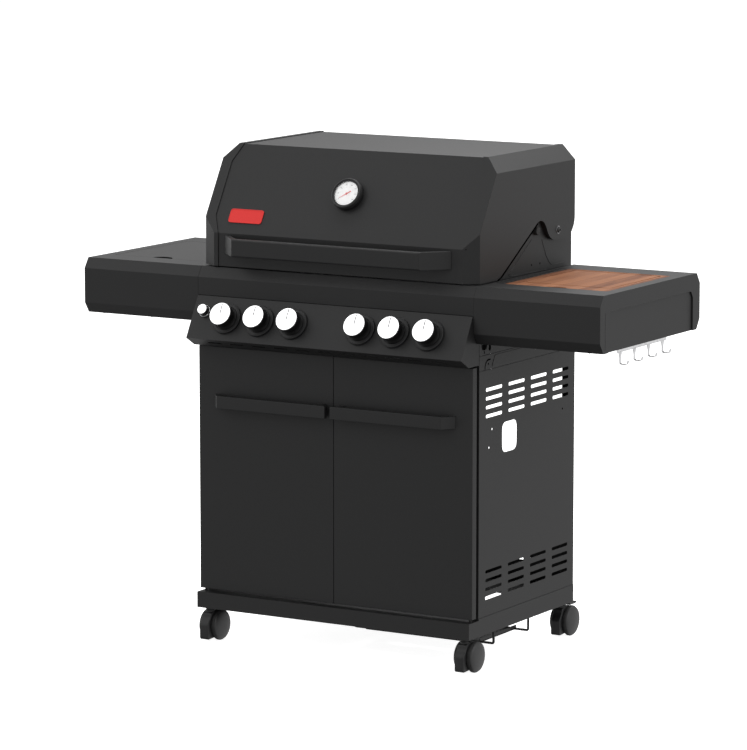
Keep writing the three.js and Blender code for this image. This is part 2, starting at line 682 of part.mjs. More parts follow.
function makeBurners() {
  const profile = [[0, 60], [burnerDiameter / 2 - 1.5, 60], [burnerDiameter / 2 - 1.5, 0],
    [burnerDiameter / 2 + 1, 0], [burnerDiameter / 2 + 1, 6], [burnerDiameter / 2, 8],
    [burnerDiameter / 2, bodyDepth - 60], [0, bodyDepth - 60]];
  burnerXs.forEach((x, i) => {
    const tube = turned(profile, 14).rotateX(-Math.PI / 2);
    tube.translate(x, bodyFront + 2, burnerZ);
    piece(`burner_${i + 1}`, tube, stainless);
  });
}

function makeCookingGrates() {
  const zTop = grateTop;
  const zLow = zTop - grateBar;
  const [y0, y1] = [boxFront + 4, bodyRear - 5];
  const width = boxHalf - sheet - 2;
  for (const [name, side] of sides) {
    const bars = [];
    const count = 12;
    const pitch = (width - 3 - grateBar) / (count - 1);
    for (let i = 0; i < count; i += 1) {
      const x = 2 + grateBar / 2 + i * pitch;
      bars.push(block(x - grateBar / 2, x + grateBar / 2, y0, y1, zLow, zTop));
    }
    for (const y of [y0, y1 - 9]) {
      bars.push(block(2.5, width - 1.5, y + 0.2, y + 8.8, zLow - 1.4, zLow + 3.4));
    }
    piece(`cooking_grate_${name}`, forSide(join(bars), side), castIron);
  }
}

function makeWarmingRack() {
  const reach = boxHalf - sheet - 3;
  const [y0, y1] = [hingeY - 70, hingeY + 28];
  const z = lidBottom + 70;
  const bars = [y0, y1].map((y) => drumX(3, -reach, reach, y, z, 8));
  const count = 12;
  for (let i = 0; i < count; i += 1) {
    const x = (i / (count - 1) - 0.5) * 2 * (reach - 8);
    bars.push(drumY(2, y0, y1, x, z + 0.5, 4));
  }
  piece('warming_rack', join(bars), stainless);
}

function makeRearBurner() {
  const [y0, y1] = [bodyRear - 30, bodyRear - sheet - gap];
  const [z0, z1] = [lidBottom + 42, lidBottom + 96];
  const housing = block(-170, 170, y0, y1, z0, z1);
  const recess = block(-160, 160, y0 - 5, y0 + 10, z0 + 10, z1 - 10);
  piece('rear_burner', housing.subtract(recess), stainless);
}

// ---------------------------------------------------------------- shelves
const counterOutline = [[counterFront, counterBottom + counterChamferZ],
  [counterFront + counterChamferY, counterBottom], [counterRear - counterChamferY, counterBottom],
  [counterRear, counterBottom + counterChamferZ], [counterRear, counterTop - counterChamferZ],
  [counterRear - counterChamferY, counterTop], [counterFront + counterChamferY, counterTop],
  [counterFront, counterTop - counterChamferZ]];
const ledgeTop = counterTop - boardThickness - gap;
const recessDepth = 4;

function makeShelf(name, side) {
  const outer = prismX(counterOutline, shelfInner, shelfOuter);
  const hollow = prismX(offsetPoints(counterOutline, sheet, true), shelfInner + sheet,
    shelfOuter - recessDepth - sheet);
  const under = block(shelfInner + 16, shelfOuter - 20, counterFront + 34, counterRear - 34,
    counterBottom - 5, counterBottom + 5);
  const [front, rear] = [counterFront + 40.4, counterRear - 36.5];
  const recessTop = counterTop - 40.6;
  const endRecess = prismX([[front, counterBottom - 1], [rear, counterBottom - 1],
    [rear, recessTop - 16], [rear - 10, recessTop], [front + 10, recessTop], [front, recessTop - 16]],
  shelfOuter - recessDepth, shelfOuter + 1);
  const well = (grow, z0, z1) => block(insetInner - grow, insetOuter + grow, insetFront - grow,
    insetRear + grow, z0, z1);
  const frame = well(gap + sheet, ledgeTop - sheet, counterTop - sheet / 2)
    .subtract(well(gap, ledgeTop, counterTop + 1))
    .subtract(well(-12, ledgeTop - 5, counterTop + 1));
  const slotCount = 16;
  const slots = [];
  for (let i = 0; i < slotCount; i += 1) {
    const y = insetFront + 8 + i * (insetDepth - 16) / (slotCount - 1);
    slots.push(block(shelfInner + 5, insetInner - 6, y - 2.5, y + 2.5, counterTop - 4, counterTop + 1));
  }
  const shell = cut(outer, [hollow, under, endRecess, well(gap, ledgeTop, counterTop + 1), ...slots]);
  piece(name, forSide(join([shell, frame]), side), blackCoat);
}

function makeCuttingBoard() {
  const board = block(insetInner, insetOuter, insetFront, insetRear, ledgeTop + gap, counterTop);
  const [x0, x1, y0, y1] = [insetInner + 21, insetOuter - 16, insetFront + 49, insetRear - 12];
  const groove = block(x0, x1, y0, y1, counterTop - 2.5, counterTop + 1)
    .subtract(block(x0 + 6, x1 - 6, y0 + 6, y1 - 6, counterTop - 4, counterTop + 2));
  const middle = (insetInner + insetOuter) / 2;
  const grip = prismZ(shapeOf([[middle - 29, insetFront - 1], [middle + 29, insetFront - 1],
    [middle + 22, insetFront + 9], [middle - 22, insetFront + 9]]), counterTop - 9, counterTop + 1);
  piece('cutting_board', cut(board, [groove, grip]), bamboo);
}

function makeHookRail() {
  const x = shelfOuter - 23;
  const top = counterBottom - gap;
  const first = counterFront + 146.9;
  const pitch = 72.4;
  const hooks = [];
  const rail = block(x - sheet, x, first - 18, first + 3 * pitch + 18, top - 13, top);
  const foot = block(x - 18, x, first - 18, first + 3 * pitch + 18, top - sheet, top);
  const drop = 41;
  const bend = folded([[x, top - 10], [x, top - drop], [x + 19.5, top - drop], [x + 21.5, top - drop + 11]],
    sheet);
  for (let i = 0; i < 4; i += 1) {
    const y = first + i * pitch;
    const taper = prismX([[y - 9.5, top - 10], [y + 9.5, top - 10], [y + 4.5, top - 24],
      [y + 4.5, top - drop - 3], [y - 4.5, top - drop - 3], [y - 4.5, top - 24]], x - 5, x + 30);
    hooks.push(prismY(bend, y - 10, y + 10).intersect(taper));
  }
  piece('hook_rail', join([rail, foot, ...hooks]), polished);
}

function makeSideBurner() {
  const rimZ = ledgeTop + gap;
  const [cx, cy] = [(insetInner + insetOuter) / 2, (insetFront + insetRear) / 2];
  const rim = block(insetInner + 1, insetOuter - 1, insetFront + 1, insetRear - 1, rimZ, rimZ + sheet);
  const bowl = block(insetInner + 13, insetOuter - 13, insetFront + 13, insetRear - 13,
    rimZ - 34, rimZ + 0.5);
  const inside = block(insetInner + 14.5, insetOuter - 14.5, insetFront + 14.5, insetRear - 14.5,
    rimZ - 32.5, rimZ + 5);
  const head = solid(turned([[0, rimZ - 33], [38, rimZ - 33], [46, rimZ - 20], [46, rimZ - 8],
    [40, rimZ - 5], [0, rimZ - 5]], 24).translate(cx, cy, 0));
  const arms = [];
  for (const along of [0, 1]) {
    for (const sign of [-1, 1]) {
      const reach = along ? insetDepth / 2 - 8 : insetWidth / 2 - 8;
      const [near, far] = [30 * sign, reach * sign];
      arms.push(along
        ? block(cx - 2.5, cx + 2.5, cy + near, cy + far, rimZ - 7, rimZ + 8)
        : block(cx + near, cx + far, cy - 2.5, cy + 2.5, rimZ - 7, rimZ + 8));
    }
  }
  const clearance = block(insetInner, insetInner + 12, cy - 4, cy + 4, rimZ - 9, rimZ - gap);
  const armRoom = [clearance, mirroredAbout(clearance, cx),
    block(cx - 4, cx + 4, insetFront, insetFront + 12, rimZ - 9, rimZ - gap),
    block(cx - 4, cx + 4, insetRear - 12, insetRear, rimZ - 9, rimZ - gap)];
  const pan = join([join([rim, bowl]).subtract(inside), head, cut(join(arms), armRoom)]);
  piece('side_burner', mirrored(pan), castIron);
}

function makeSideBurnerLid() {
  const edge = 0.8;
  const middle = (insetInner + insetOuter) / 2;
  const [x0, x1, y0, y1] = [insetInner + edge, insetOuter - edge, insetFront + edge, insetRear - edge];
  const skin = block(x0, x1, y0, y1, counterTop - sheet, counterTop);
  const flange = 6;
  const frontFlange = block(x0, x1, y0, y0 + sheet, counterTop - flange, counterTop - 0.2);
  const sideFlange = block(x0, x0 + sheet, y0, y1 - 14, counterTop - flange, counterTop - 0.2);
  const notch = new THREE.Shape();
  notch.absellipse(middle, y0, 29, 25, 0, 2 * Math.PI);
  const lid = join([skin, frontFlange, sideFlange, mirroredAbout(sideFlange, middle)]);
  const finger = prismZ(notch, counterTop - 12, counterTop + 1, 8);
  piece('side_burner_lid', mirrored(lid.subtract(finger)), blackCoat);
}

// ---------------------------------------------------------------- hood
// Lower edge of an end cap: rising diagonal, notch over the resting stud, hinge ear, rounded corner.
function capLowerEdge() {
  const path = new THREE.Path();
  path.moveTo(lidFront, lidBottom);
  path.lineTo(lidFront + 77.9, lidBottom);
  path.lineTo(hingeY - 106, hingeZ + 26);
  path.quadraticCurveTo(hingeY - 92, hingeZ + 34, hingeY - 76, hingeZ + 27);
  path.quadraticCurveTo(hingeY - 63, hingeZ + 19, hingeY - 56, hingeZ + 5);
  path.quadraticCurveTo(hingeY - 43, hingeZ - 22, hingeY - 11, hingeZ - 23);
  path.lineTo(lidRear - 50, hingeZ - 23);
  path.absarc(lidRear - 50, hingeZ + 27, 50, -Math.PI / 2, 0);
  return path.getPoints(6).map((point) => [point.x, point.y]);
}

// Corners of the hood seen from its end, from the rear foot over the top to the front foot.
function hoodProfile(inset) {
  return offsetPoints([[lidRear, lidBottom], [lidRear, lidTop], [lidCrest, lidTop],
    [lidFront, lidFold], [lidFront, lidBottom]], inset);
}

// Chamfered ends of the hood as seen from behind and from above.
function hoodEnds(inset) {
  const width = half - inset;
  const shoulder = lidTop - lidChamfer - inset * 0.45;
  const crown = width - lidChamfer + inset * 0.45;
  const low = lidBottom - 60;
  const across = prismY([[-width, low], [width, low], [width, shoulder], [crown, lidTop + 1],
    [-crown, lidTop + 1], [-width, shoulder]], lidFront - 5, lidRear + 20);
  const corner = width - cornerChamferX + inset * 0.3;
  const cornerBack = lidFront + cornerChamferY + inset * 0.7;
  const plan = prismZ([[-corner, lidFront - inset], [corner, lidFront - inset], [width, cornerBack],
    [width, lidRear + 20], [-width, lidRear + 20], [-width, cornerBack]], low, lidTop + 5);
  return across.intersect(plan);
}

function hoodOuter(inset) {
  const [, rearTop, crest, fold, frontFoot] = hoodProfile(inset);
  const outline = [[frontFoot[0], lidBottom], ...capLowerEdge().slice(1), rearTop, crest, fold];
  return prismX(outline, -half - 1, half + 1).intersect(hoodEnds(inset));
}

function hoodHollow(inset) {
  const [rearFoot, rearTop, crest, fold, frontFoot] = hoodProfile(inset);
  const lipBottom = lidBottom + 183;
  const outline = [[frontFoot[0], lidBottom - 50], [lidRear + 15, lidBottom - 50], [lidRear + 15, lipBottom],
    [rearFoot[0], lipBottom], rearTop, crest, fold];
  return prismX(outline, -half - 1, half + 1).intersect(hoodEnds(inset));
}

// Local frame of the sloped front of the hood: y up the slope from the fold, z out of the face.
const slopeFrame = new THREE.Group();
slopeFrame.position.set(0, lidFront, lidFold);
slopeFrame.rotation.x = Math.PI / 2 - slopeTilt;
slopeFrame.updateMatrix();
grill.add(slopeFrame);

function onSlope(geometry) {
  return solid(geometry.applyMatrix4(slopeFrame.matrix));
}

// Room taken by the sheet between the two end caps, bulging outwards on the slope.
function betweenCaps(grow) {
  const reach = lidSeamHalf + grow;
  const bulge = reach + 20.5;
  const slope = extrusion([[-reach, 0], [reach, 0], [bulge, 45], [bulge, slopeLength - 49],
    [reach, slopeLength], [-reach, slopeLength], [-bulge, slopeLength - 49], [-bulge, 45]], 40)
    .translate(0, 0, -20);
  return block(-reach, reach, lidFront - 20, lidRear + 20, lidBottom - 20, lidTop + 20).add(onSlope(slope));
}

const thermometerUp = slopeLength - 121;

function makeLid() {
  const proud = 2;
  const hollow = hoodHollow(proud + lidWall);
  const shell = hoodOuter(proud).subtract(hollow).intersect(betweenCaps(-gap / 2));
  const stemHole = onSlope(panelDrum(4 + gap, -20, 20, 0, thermometerUp));
  piece('lid_shell', shell.subtract(stemHole), blackCoat);

  const ring = capLowerEdge();
  const outline = [...ring, [lidRear, lidTop - 40], [lidFront + 60, lidTop - 40]];
  const rimBand = prismX(folded(ring, 3), half - capRim, half - 1).intersect(prismX(outline, 0, half));
  const boss = drumX(13, half - capRim, half - 1, hingeY, hingeZ, 24);
  const bore = drumX(hingePin / 2 + gap, half - 20, half + 5, hingeY, hingeZ, 20);
  const cap = hoodOuter(0).subtract(hoodHollow(capWall)).subtract(betweenCaps(gap / 2))
    .intersect(block(0, half + 5, lidFront - 5, lidRear + 5, lidBottom - 5, lidTop + 5));
  const rim = rimBand.intersect(hoodEnds(1));
  const whole = join([cap, rim, boss]).subtract(bore);
  for (const [name, side] of sides) piece(`lid_end_cap_${name}`, forSide(whole, side), blackCoat);
}

function makeLidHandle() {
  const root = lidFront + 2 - gap;
  const face = lidFront - handleReach;
  const bar = 13;
  const outer = half - 64.8;
  const bend = outer - 55.5;
  const chamfer = 3;
  const outline = [[-bend, face], [bend, face], [outer, root], [outer - 18, root], [bend - 5.4, face + bar],
    [-bend + 5.4, face + bar], [-outer + 18, root], [-outer, root]];
  const low = lidBottom + 31.5;
  const bow = prismZ(outline, low, low + handleHeight);
  const section = [[face, low + chamfer], [face + chamfer, low], [root + 1, low],
    [root + 1, low + handleHeight], [face + chamfer, low + handleHeight],
    [face, low + handleHeight - chamfer]];
  piece('lid_handle', bow.intersect(prismX(section, -half, half)), blackCoat);
}

function makeThermometer() {
  const radius = thermometerDiameter / 2;
  const base = -2 + gap;
  const dial = radius - 8;
  const profile = [[0, -62], [3, -62], [4, -58], [4, base], [radius - 4, base], [radius, base + 3],
    [radius, thermometerHeight - 5], [radius - 4, thermometerHeight], [dial, thermometerHeight],
    [dial, thermometerHeight - 6], [1.6, thermometerHeight - 6], [1.6, thermometerHeight - 9],
    [0, thermometerHeight - 9]];
  piece('thermometer', turned(profile, 20), blackPlastic, slopeFrame).position.y = thermometerUp;
  const pointer = join([solid(turned([[0, -2.6], [1.2, -2.6], [1.2, 0], [3, 0], [3, 1.4], [0, 1.4]], 12)),
    prismZ([[-0.9, -9], [0.9, -9], [0.9, 15], [0, 23], [-0.9, 15]], 0.2, 1.2)]);
  const needle = piece('thermometer_needle', pointer, redPaint, slopeFrame);
  needle.position.set(0, thermometerUp, thermometerHeight - 6 + gap);
  needle.rotation.z = THREE.MathUtils.degToRad(125);
}

function makeBadge() {
  const [width, height, corner] = [93, 36, 8];
  const fromEnd = 112.8;
  const downSlope = 191.5;
  const plate = extrusion(roundedBox(width, height, corner), 1.6, 4);
  const badge = piece('badge', plate, redPaint, slopeFrame);
  badge.position.set(fromEnd - half, slopeLength - downSlope, -2 + gap);
}

// ---------------------------------------------------------------- assembly
makeBaseTray();
for (const [name, side] of sides) makeSidePanel(`side_panel_${name}`, side);
makeBackPanel();
makeBottleCradle();
makeCastors();
for (const [name, side] of sides) makeDoor(`door_${name}`, side);
for (const [name, side] of sides) makeDoorHandle(`door_handle_${name}`, side);
makeCenterFascia();
makeControlPanel();
makeKnobs();
makeGasManifold();
makeFirebox();
for (const [name, side] of sides) makeFireboxSide(`firebox_side_${name}`, side);
makeGreaseTray();
makeBurners();
makeCookingGrates();
makeWarmingRack();
makeRearBurner();
for (const [name, side] of sides) makeShelf(`shelf_${name}`, side);
makeCuttingBoard();
makeHookRail();
makeSideBurner();
makeSideBurnerLid();
makeLid();
makeLidHandle();
makeThermometer();
makeBadge();

// Centre the footprint on the origin.
const extent = new THREE.Box3().setFromObject(grill);
grill.position.y = -(extent.min.y + extent.max.y) / 2;

export default grill;
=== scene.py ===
"""Finish pieces, materials and studio for a cabinet gas barbecue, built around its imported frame."""

import json
import math

import bmesh
import bpy
from mathutils import Matrix, Vector


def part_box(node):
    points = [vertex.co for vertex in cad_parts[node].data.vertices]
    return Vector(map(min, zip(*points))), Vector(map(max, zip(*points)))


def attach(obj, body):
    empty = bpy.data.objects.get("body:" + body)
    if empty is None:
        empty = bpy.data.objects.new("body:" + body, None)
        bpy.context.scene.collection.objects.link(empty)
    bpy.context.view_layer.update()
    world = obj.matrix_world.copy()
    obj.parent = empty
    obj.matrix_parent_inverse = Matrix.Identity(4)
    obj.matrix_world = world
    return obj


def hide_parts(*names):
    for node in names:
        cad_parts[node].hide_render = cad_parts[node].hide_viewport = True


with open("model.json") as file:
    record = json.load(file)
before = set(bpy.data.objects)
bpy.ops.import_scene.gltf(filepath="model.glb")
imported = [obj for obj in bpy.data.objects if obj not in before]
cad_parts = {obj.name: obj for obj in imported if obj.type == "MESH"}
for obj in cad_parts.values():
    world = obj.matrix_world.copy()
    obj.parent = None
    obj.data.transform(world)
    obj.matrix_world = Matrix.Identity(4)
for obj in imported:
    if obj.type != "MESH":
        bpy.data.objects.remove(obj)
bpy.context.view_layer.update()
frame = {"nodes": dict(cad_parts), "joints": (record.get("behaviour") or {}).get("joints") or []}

bl_info = {
    "name": "Cabinet Gas Barbecue",
    "version": (1, 0, 0),
    "blender": (4, 5, 0),
    "location": "3D View > Sidebar > Barbecue",
    "description": "Adds the finish pieces, materials and studio of a gas barbecue to its frame",
    "category": "Object",
}

JOINTS = {joint["name"]: joint for joint in frame["joints"]}
SIDES = (("left", -1), ("right", 1))
CASTORS = ("front_left", "front_right", "rear_left", "rear_right")
KNOBS = range(1, 7)
MM = 0.001
DIAL_SWEEP = 250.0  # degrees from the first mark of the gauge to the last

# Planes that an outline is drawn in: (across, up) and then the way it is run.
PLAN = Matrix.Identity(4)
END_VIEW = Matrix(((0, 0, 1, 0), (1, 0, 0, 0), (0, 1, 0, 0), (0, 0, 0, 1)))
FRONT_VIEW = Matrix(((1, 0, 0, 0), (0, 0, -1, 0), (0, 1, 0, 0), (0, 0, 0, 1)))


# ------------------------------------------------------------------ settings
def length(name, description, default):
    return bpy.props.FloatProperty(
        name=name, description=description, default=default, min=0.0, unit="LENGTH")


def power(name, description, default):
    return bpy.props.FloatProperty(
        name=name, description=description, default=default, min=0.0, unit="POWER")


def colour(name, description, default):
    return bpy.props.FloatVectorProperty(
        name=name, description=description, default=default, size=3, min=0.0, max=1.0,
        subtype="COLOR")


class BarbecueFinishes(bpy.types.PropertyGroup):
    coat: colour("Powder coat", "Satin graphite coat of the sheet metal", (0.0150, 0.0150, 0.0153))
    enamel: colour("Enamel", "Porcelain enamel of the cook box", (0.010, 0.010, 0.011))
    plastic: colour("Plastic", "Bezels, castors and gauge housing", (0.012, 0.012, 0.0125))
    accent: colour("Accent", "Badge and gauge needle", (0.78, 0.045, 0.042))
    wood_light: colour("Light wood", "Light strips of the cutting board", (0.34, 0.145, 0.068))
    wood_dark: colour("Dark wood", "Dark strips of the cutting board", (0.135, 0.047, 0.021))
    sheet_edge: length("Sheet edge", "Rounding of the folded sheet's edges", 0.0007)


class BarbecueControls(bpy.types.PropertyGroup):
    knob_diameter: length("Knob", "Diameter of a knob's face", 0.0555)
    knob_height: length("Knob height", "Panel to knob face", 0.036)
    bezel_diameter: length("Bezel", "Diameter of the ring round a knob", 0.077)
    pointer_width: length("Pointer", "Width of the line on a knob's face", 0.0020)
    igniter_diameter: length("Igniter", "Diameter of the igniter button", 0.025)
    collar_diameter: length("Igniter collar", "Diameter of the chrome collar", 0.031)


class BarbecueGauge(bpy.types.PropertyGroup):
    diameter: length("Gauge", "Diameter of the gauge housing", 0.078)
    dial_diameter: length("Dial", "Diameter of the white dial", 0.062)
    highest: bpy.props.IntProperty(
        name="Highest reading", description="Last number on the dial", default=350, min=100)
    step: bpy.props.IntProperty(
        name="Step", description="Between two numbers on the dial", default=50, min=10)


class BarbecueStage(bpy.types.PropertyGroup):
    azimuth: bpy.props.FloatProperty(
        name="Azimuth", description="Camera's turn round the barbecue",
        default=math.radians(30.63), subtype="ANGLE")
    elevation: bpy.props.FloatProperty(
        name="Elevation", description="Camera's angle above the horizon",
        default=math.radians(8.66), subtype="ANGLE")
    place: bpy.props.FloatVectorProperty(
        name="Camera place", description="Where the camera stands",
        default=(5.0174, -8.5246, 2.1577), subtype="XYZ", unit="LENGTH")
    lens: bpy.props.FloatProperty(
        name="Lens", description="Focal length in millimetres", default=198.8, min=1.0)
    surround: bpy.props.FloatProperty(
        name="Surround", description="Strength of the soft light from all round", default=1.0, min=0.0)
    overhead: power("Overhead", "Power of the soft box above", 150.0)
    side: power("Side", "Power of the soft box on each side", 42.0)
    front: power("Front", "Power of the small soft box that the knobs' faces reflect", 14.0)
    floor_tone: colour("Floor", "Pale floor", (0.93, 0.93, 0.93))


SETTINGS = {
    "barbecue_finishes": BarbecueFinishes,
    "barbecue_controls": BarbecueControls,
    "barbecue_gauge": BarbecueGauge,
    "barbecue_stage": BarbecueStage,
}


# ------------------------------------------------------------------ places taken from the frame
def span(node):
    """Lowest and highest corner of a frame node, in millimetres."""
    low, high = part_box(node)
    return low / MM, high / MM


def joint_place(name):
    """A joint's point in millimetres and its axis."""
    joint = JOINTS[name]
    return Vector(joint["pos_m"]) / MM, Vector(joint["axis"])


def facing(origin, outward):
    """Frame at a point whose z looks outward, with x to the right and y up the face."""
    z = Vector(outward).normalized()
    x = Vector((1, 0, 0))
    y = z.cross(x)
    turn = Matrix((x, y, z)).transposed().to_4x4()
    return Matrix.Translation(origin) @ turn


# ------------------------------------------------------------------ shapes, in millimetres
# A shape is (vertices, faces).
def harvest(bm):
    bm.verts.index_update()
    shape = ([v.co.copy() for v in bm.verts], [[v.index for v in f.verts] for f in bm.faces])
    bm.free()
    return shape


def moved(shape, matrix):
    vertices, faces = shape
    return [matrix @ Vector(v) for v in vertices], faces


def lift(x=0.0, y=0.0, z=0.0):
    return Matrix.Translation((x, y, z))


def mirrored(sign):
    """Turns a shape made for the right side (sign 1) into one for that side."""
    return Matrix.Diagonal((sign, 1, 1, 1))


def eased(points, radius, steps=4, closed=False):
    """The same path with each corner turned into a curve that starts and ends radius away."""
    corners = [Vector(point) for point in points]
    count = len(corners)
    path = []
    for i, corner in enumerate(corners):
        if not closed and i in (0, count - 1):
            path.append(corner)
            continue
        before, after = corners[i - 1] - corner, corners[(i + 1) % count] - corner
        reach = min(radius, before.length * 0.49, after.length * 0.49)
        start, end = corner + before.normalized() * reach, corner + after.normalized() * reach
        for step in range(steps + 1):
            t = step / steps
            path.append(start * (1 - t) ** 2 + corner * 2 * t * (1 - t) + end * t ** 2)
    return path


def rectangle(x0, x1, y0, y1, radius=0.0, steps=4):
    corners = [(x0, y0), (x1, y0), (x1, y1), (x0, y1)]
    return eased(corners, radius, steps, closed=True) if radius else [Vector(c) for c in corners]


def slot_at(x, y, width, height, radius, steps=4):
    return rectangle(x - width / 2, x + width / 2, y - height / 2, y + height / 2, radius, steps)


def ribbon(points, width):
    """Outline of a band of that width along a flat path."""
    corners = [Vector(point) for point in points]
    left, right = [], []
    for i, corner in enumerate(corners):
        ahead = corners[min(i + 1, len(corners) - 1)] - corners[max(i - 1, 0)]
        across = Vector((-ahead.y, ahead.x)).normalized() * width / 2
        left.append(corner + across)
        right.append(corner - across)
    return left + right[::-1]


def lathe(profile, segments=64):
    """A profile of (radius, height) pairs turned about z."""
    vertices, rings = [], []
    for radius, height in profile:
        if radius < 1e-6:
            rings.append([len(vertices)] * segments)
            vertices.append(Vector((0, 0, height)))
            continue
        rings.append([len(vertices) + i for i in range(segments)])
        for i in range(segments):
            angle = 2 * math.pi * i / segments
            vertices.append(Vector((radius * math.cos(angle), radius * math.sin(angle), height)))
    faces = []
    for low, high in zip(rings, rings[1:]):
        for i in range(segments):
            j = (i + 1) % segments
            face = list(dict.fromkeys((low[i], low[j], high[j], high[i])))
            if len(face) > 2:
                faces.append(face)
    return vertices, faces


def shape_of(curve):
    """The shape that a curve or a text has, which is then removed."""
    holder = bpy.data.objects.new("outline", curve)
    bpy.context.scene.collection.objects.link(holder)
    made = bpy.data.meshes.new_from_object(
        holder.evaluated_get(bpy.context.evaluated_depsgraph_get()))
    shape = ([v.co.copy() for v in made.vertices], [list(f.vertices) for f in made.polygons])
    bpy.data.objects.remove(holder)
    bpy.data.curves.remove(curve)
    bpy.data.meshes.remove(made)
    return shape


def curve_shape(paths, closed, **settings):
    """The shape that a curve through these paths has, with the curve's own thickness."""
    curve = bpy.data.curves.new("outline", "CURVE")
    curve.dimensions = "2D" if closed and len(paths[0][0]) == 2 else "3D"
    for path in paths:
        spline = curve.splines.new("POLY")
        spline.points.add(len(path) - 1)
        for place, point in zip(spline.points, path):
            place.co = (*point, 0.0, 1.0) if len(point) == 2 else (*point, 1.0)
        spline.use_cyclic_u = closed
    for name, value in settings.items():
        setattr(curve, name, value)
    return shape_of(curve)


def plate(outlines, low, high, edge=0.3, resolution=1):
    """A flat plate from z low to z high. The first outline is its border, the others are holes."""
    edge = min(edge, (high - low) * 0.49)
    shape = curve_shape(
        outlines, True, fill_mode="BOTH", extrude=(high - low) / 2 - edge, bevel_depth=edge,
        bevel_resolution=resolution, offset=-edge)
    return moved(shape, lift(z=(low + high) / 2))


def wire(points, radius, bend=0.0, closed=False, sides=3):
    """A round wire or tube along points, each corner bent over that length."""
    path = eased(points, bend, 6, closed) if bend else [Vector(point) for point in points]
    return curve_shape(
        [path], closed, fill_mode="FULL", bevel_depth=radius, bevel_resolution=sides,
        use_fill_caps=True)


def block(low, high, edge=0.4, segments=2):
    """A box with rounded edges."""
    low, high = Vector(low), Vector(high)
    size = high - low
    bm = bmesh.new()
    bmesh.ops.create_cube(
        bm, size=1, matrix=Matrix.Translation((low + high) / 2) @ Matrix.Diagonal((*size, 1)))
    bmesh.ops.bevel(
        bm, geom=bm.edges[:], offset=min(edge, min(size) * 0.45), segments=segments, profile=0.5,
        affect="EDGES")
    return harvest(bm)


def strip(path, widths, thickness):
    """A bent strip in the plane of x and z whose width, along y, changes along the path."""
    points = [Vector(point) for point in path]
    vertices, faces = [], []
    for i, point in enumerate(points):
        ahead = points[min(i + 1, len(points) - 1)] - points[max(i - 1, 0)]
        across = Vector((-ahead.y, ahead.x)).normalized() * thickness / 2
        for side, edge in ((1, -1), (1, 1), (-1, 1), (-1, -1)):
            flat = point + across * side
            vertices.append(Vector((flat.x, edge * widths[i] / 2, flat.y)))
    for i in range(len(points) - 1):
        first, second = 4 * i, 4 * i + 4
        for j in range(4):
            k = (j + 1) % 4
            faces.append([first + j, first + k, second + k, second + j])
    last = 4 * (len(points) - 1)
    faces += [[0, 1, 2, 3], [last, last + 1, last + 2, last + 3]]
    return vertices, faces


def lettering(text, size):
    """Flat raised figures, centred on the origin."""
    curve = bpy.data.curves.new("figure", "FONT")
    curve.body, curve.size = text, size
    curve.align_x, curve.align_y = "CENTER", "CENTER"
    curve.extrude = 0.05
    return shape_of(curve)


def cross_screw(radius=3.4):
    """A pan-head screw with a cross recess, its seat at z = 0."""
    head = lathe([(0, -1), (radius * 0.55, -1), (radius * 0.55, 0), (radius, 0), (radius, 0.7),
                  (radius * 0.86, 1.5), (radius * 0.5, 1.9), (0, 2.0)], 24)
    bar = radius * 0.62
    # The cross recess is two near-black bars laid on the head: painted shade.
    recess = [block((-bar, -0.35, 1.7), (bar, 0.35, 2.12), 0.1, 1),
              block((-0.35, -bar, 1.7), (0.35, bar, 2.12), 0.1, 1)]
    return head, recess


# ------------------------------------------------------------------ pieces
def new_mesh(name, shapes, at, reach):
    """A mesh made of shapes in millimetres, with corners within that reach of each other joined."""
    bm = bmesh.new()
    for vertices, faces in shapes:
        made = [bm.verts.new(at @ Vector(v) * MM) for v in vertices]
        for face in faces:
            try:
                bm.faces.new([made[i] for i in face])
            except ValueError:  # the same face twice, where two outlines meet
                continue
    bmesh.ops.remove_doubles(bm, verts=bm.verts, dist=reach)
    loose = [v for v in bm.verts if not v.link_faces]
    bmesh.ops.delete(bm, geom=loose, context="VERTS")
    bmesh.ops.recalc_face_normals(bm, faces=bm.faces)
    mesh = bpy.data.meshes.new(name)
    bm.to_mesh(mesh)
    bm.free()
    return mesh


def add_piece(name, shapes, finish, body, at=PLAN, stands_for=(), smooth=35, edge=0.0):
    """One mesh piece made of shapes in millimetres, placed by a frame and riding on a body."""
    mesh = new_mesh(name, shapes, at, 2e-6)
    mesh.shade_smooth()
    mesh.set_sharp_from_angle(angle=math.radians(smooth))
    mesh.materials.append(finish_of(finish))
    piece = bpy.data.objects.new(name, mesh)
    bpy.context.scene.collection.objects.link(piece)
    if edge:
        round_edges(piece, edge)
    even_normals(piece)
    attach(piece, body)
    if stands_for:
        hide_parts(*stands_for)
    return piece


def add_screws(name, seats):
    """A cross-recess screw on the cart at each seat."""
    head, recess = cross_screw()
    add_piece(f"{name}s", [moved(head, seat) for seat in seats], "screw", "cart")
    # The recesses get the near-black finish as painted shade.
    add_piece(f"{name}_recesses", [moved(bar, seat) for seat in seats for bar in recess], "dark",
              "cart")


def round_edges(piece, width, angle=18, segments=2):
    bevel = piece.modifiers.new("Rounded edges", "BEVEL")
    bevel.width, bevel.segments = width, segments
    bevel.limit_method, bevel.angle_limit = "ANGLE", math.radians(angle)


def even_normals(piece):
    """Shades each flat face as flat, and only the rounding beside it as round."""
    normals = piece.modifiers.new("Even normals", "WEIGHTED_NORMAL")
    normals.keep_sharp = True


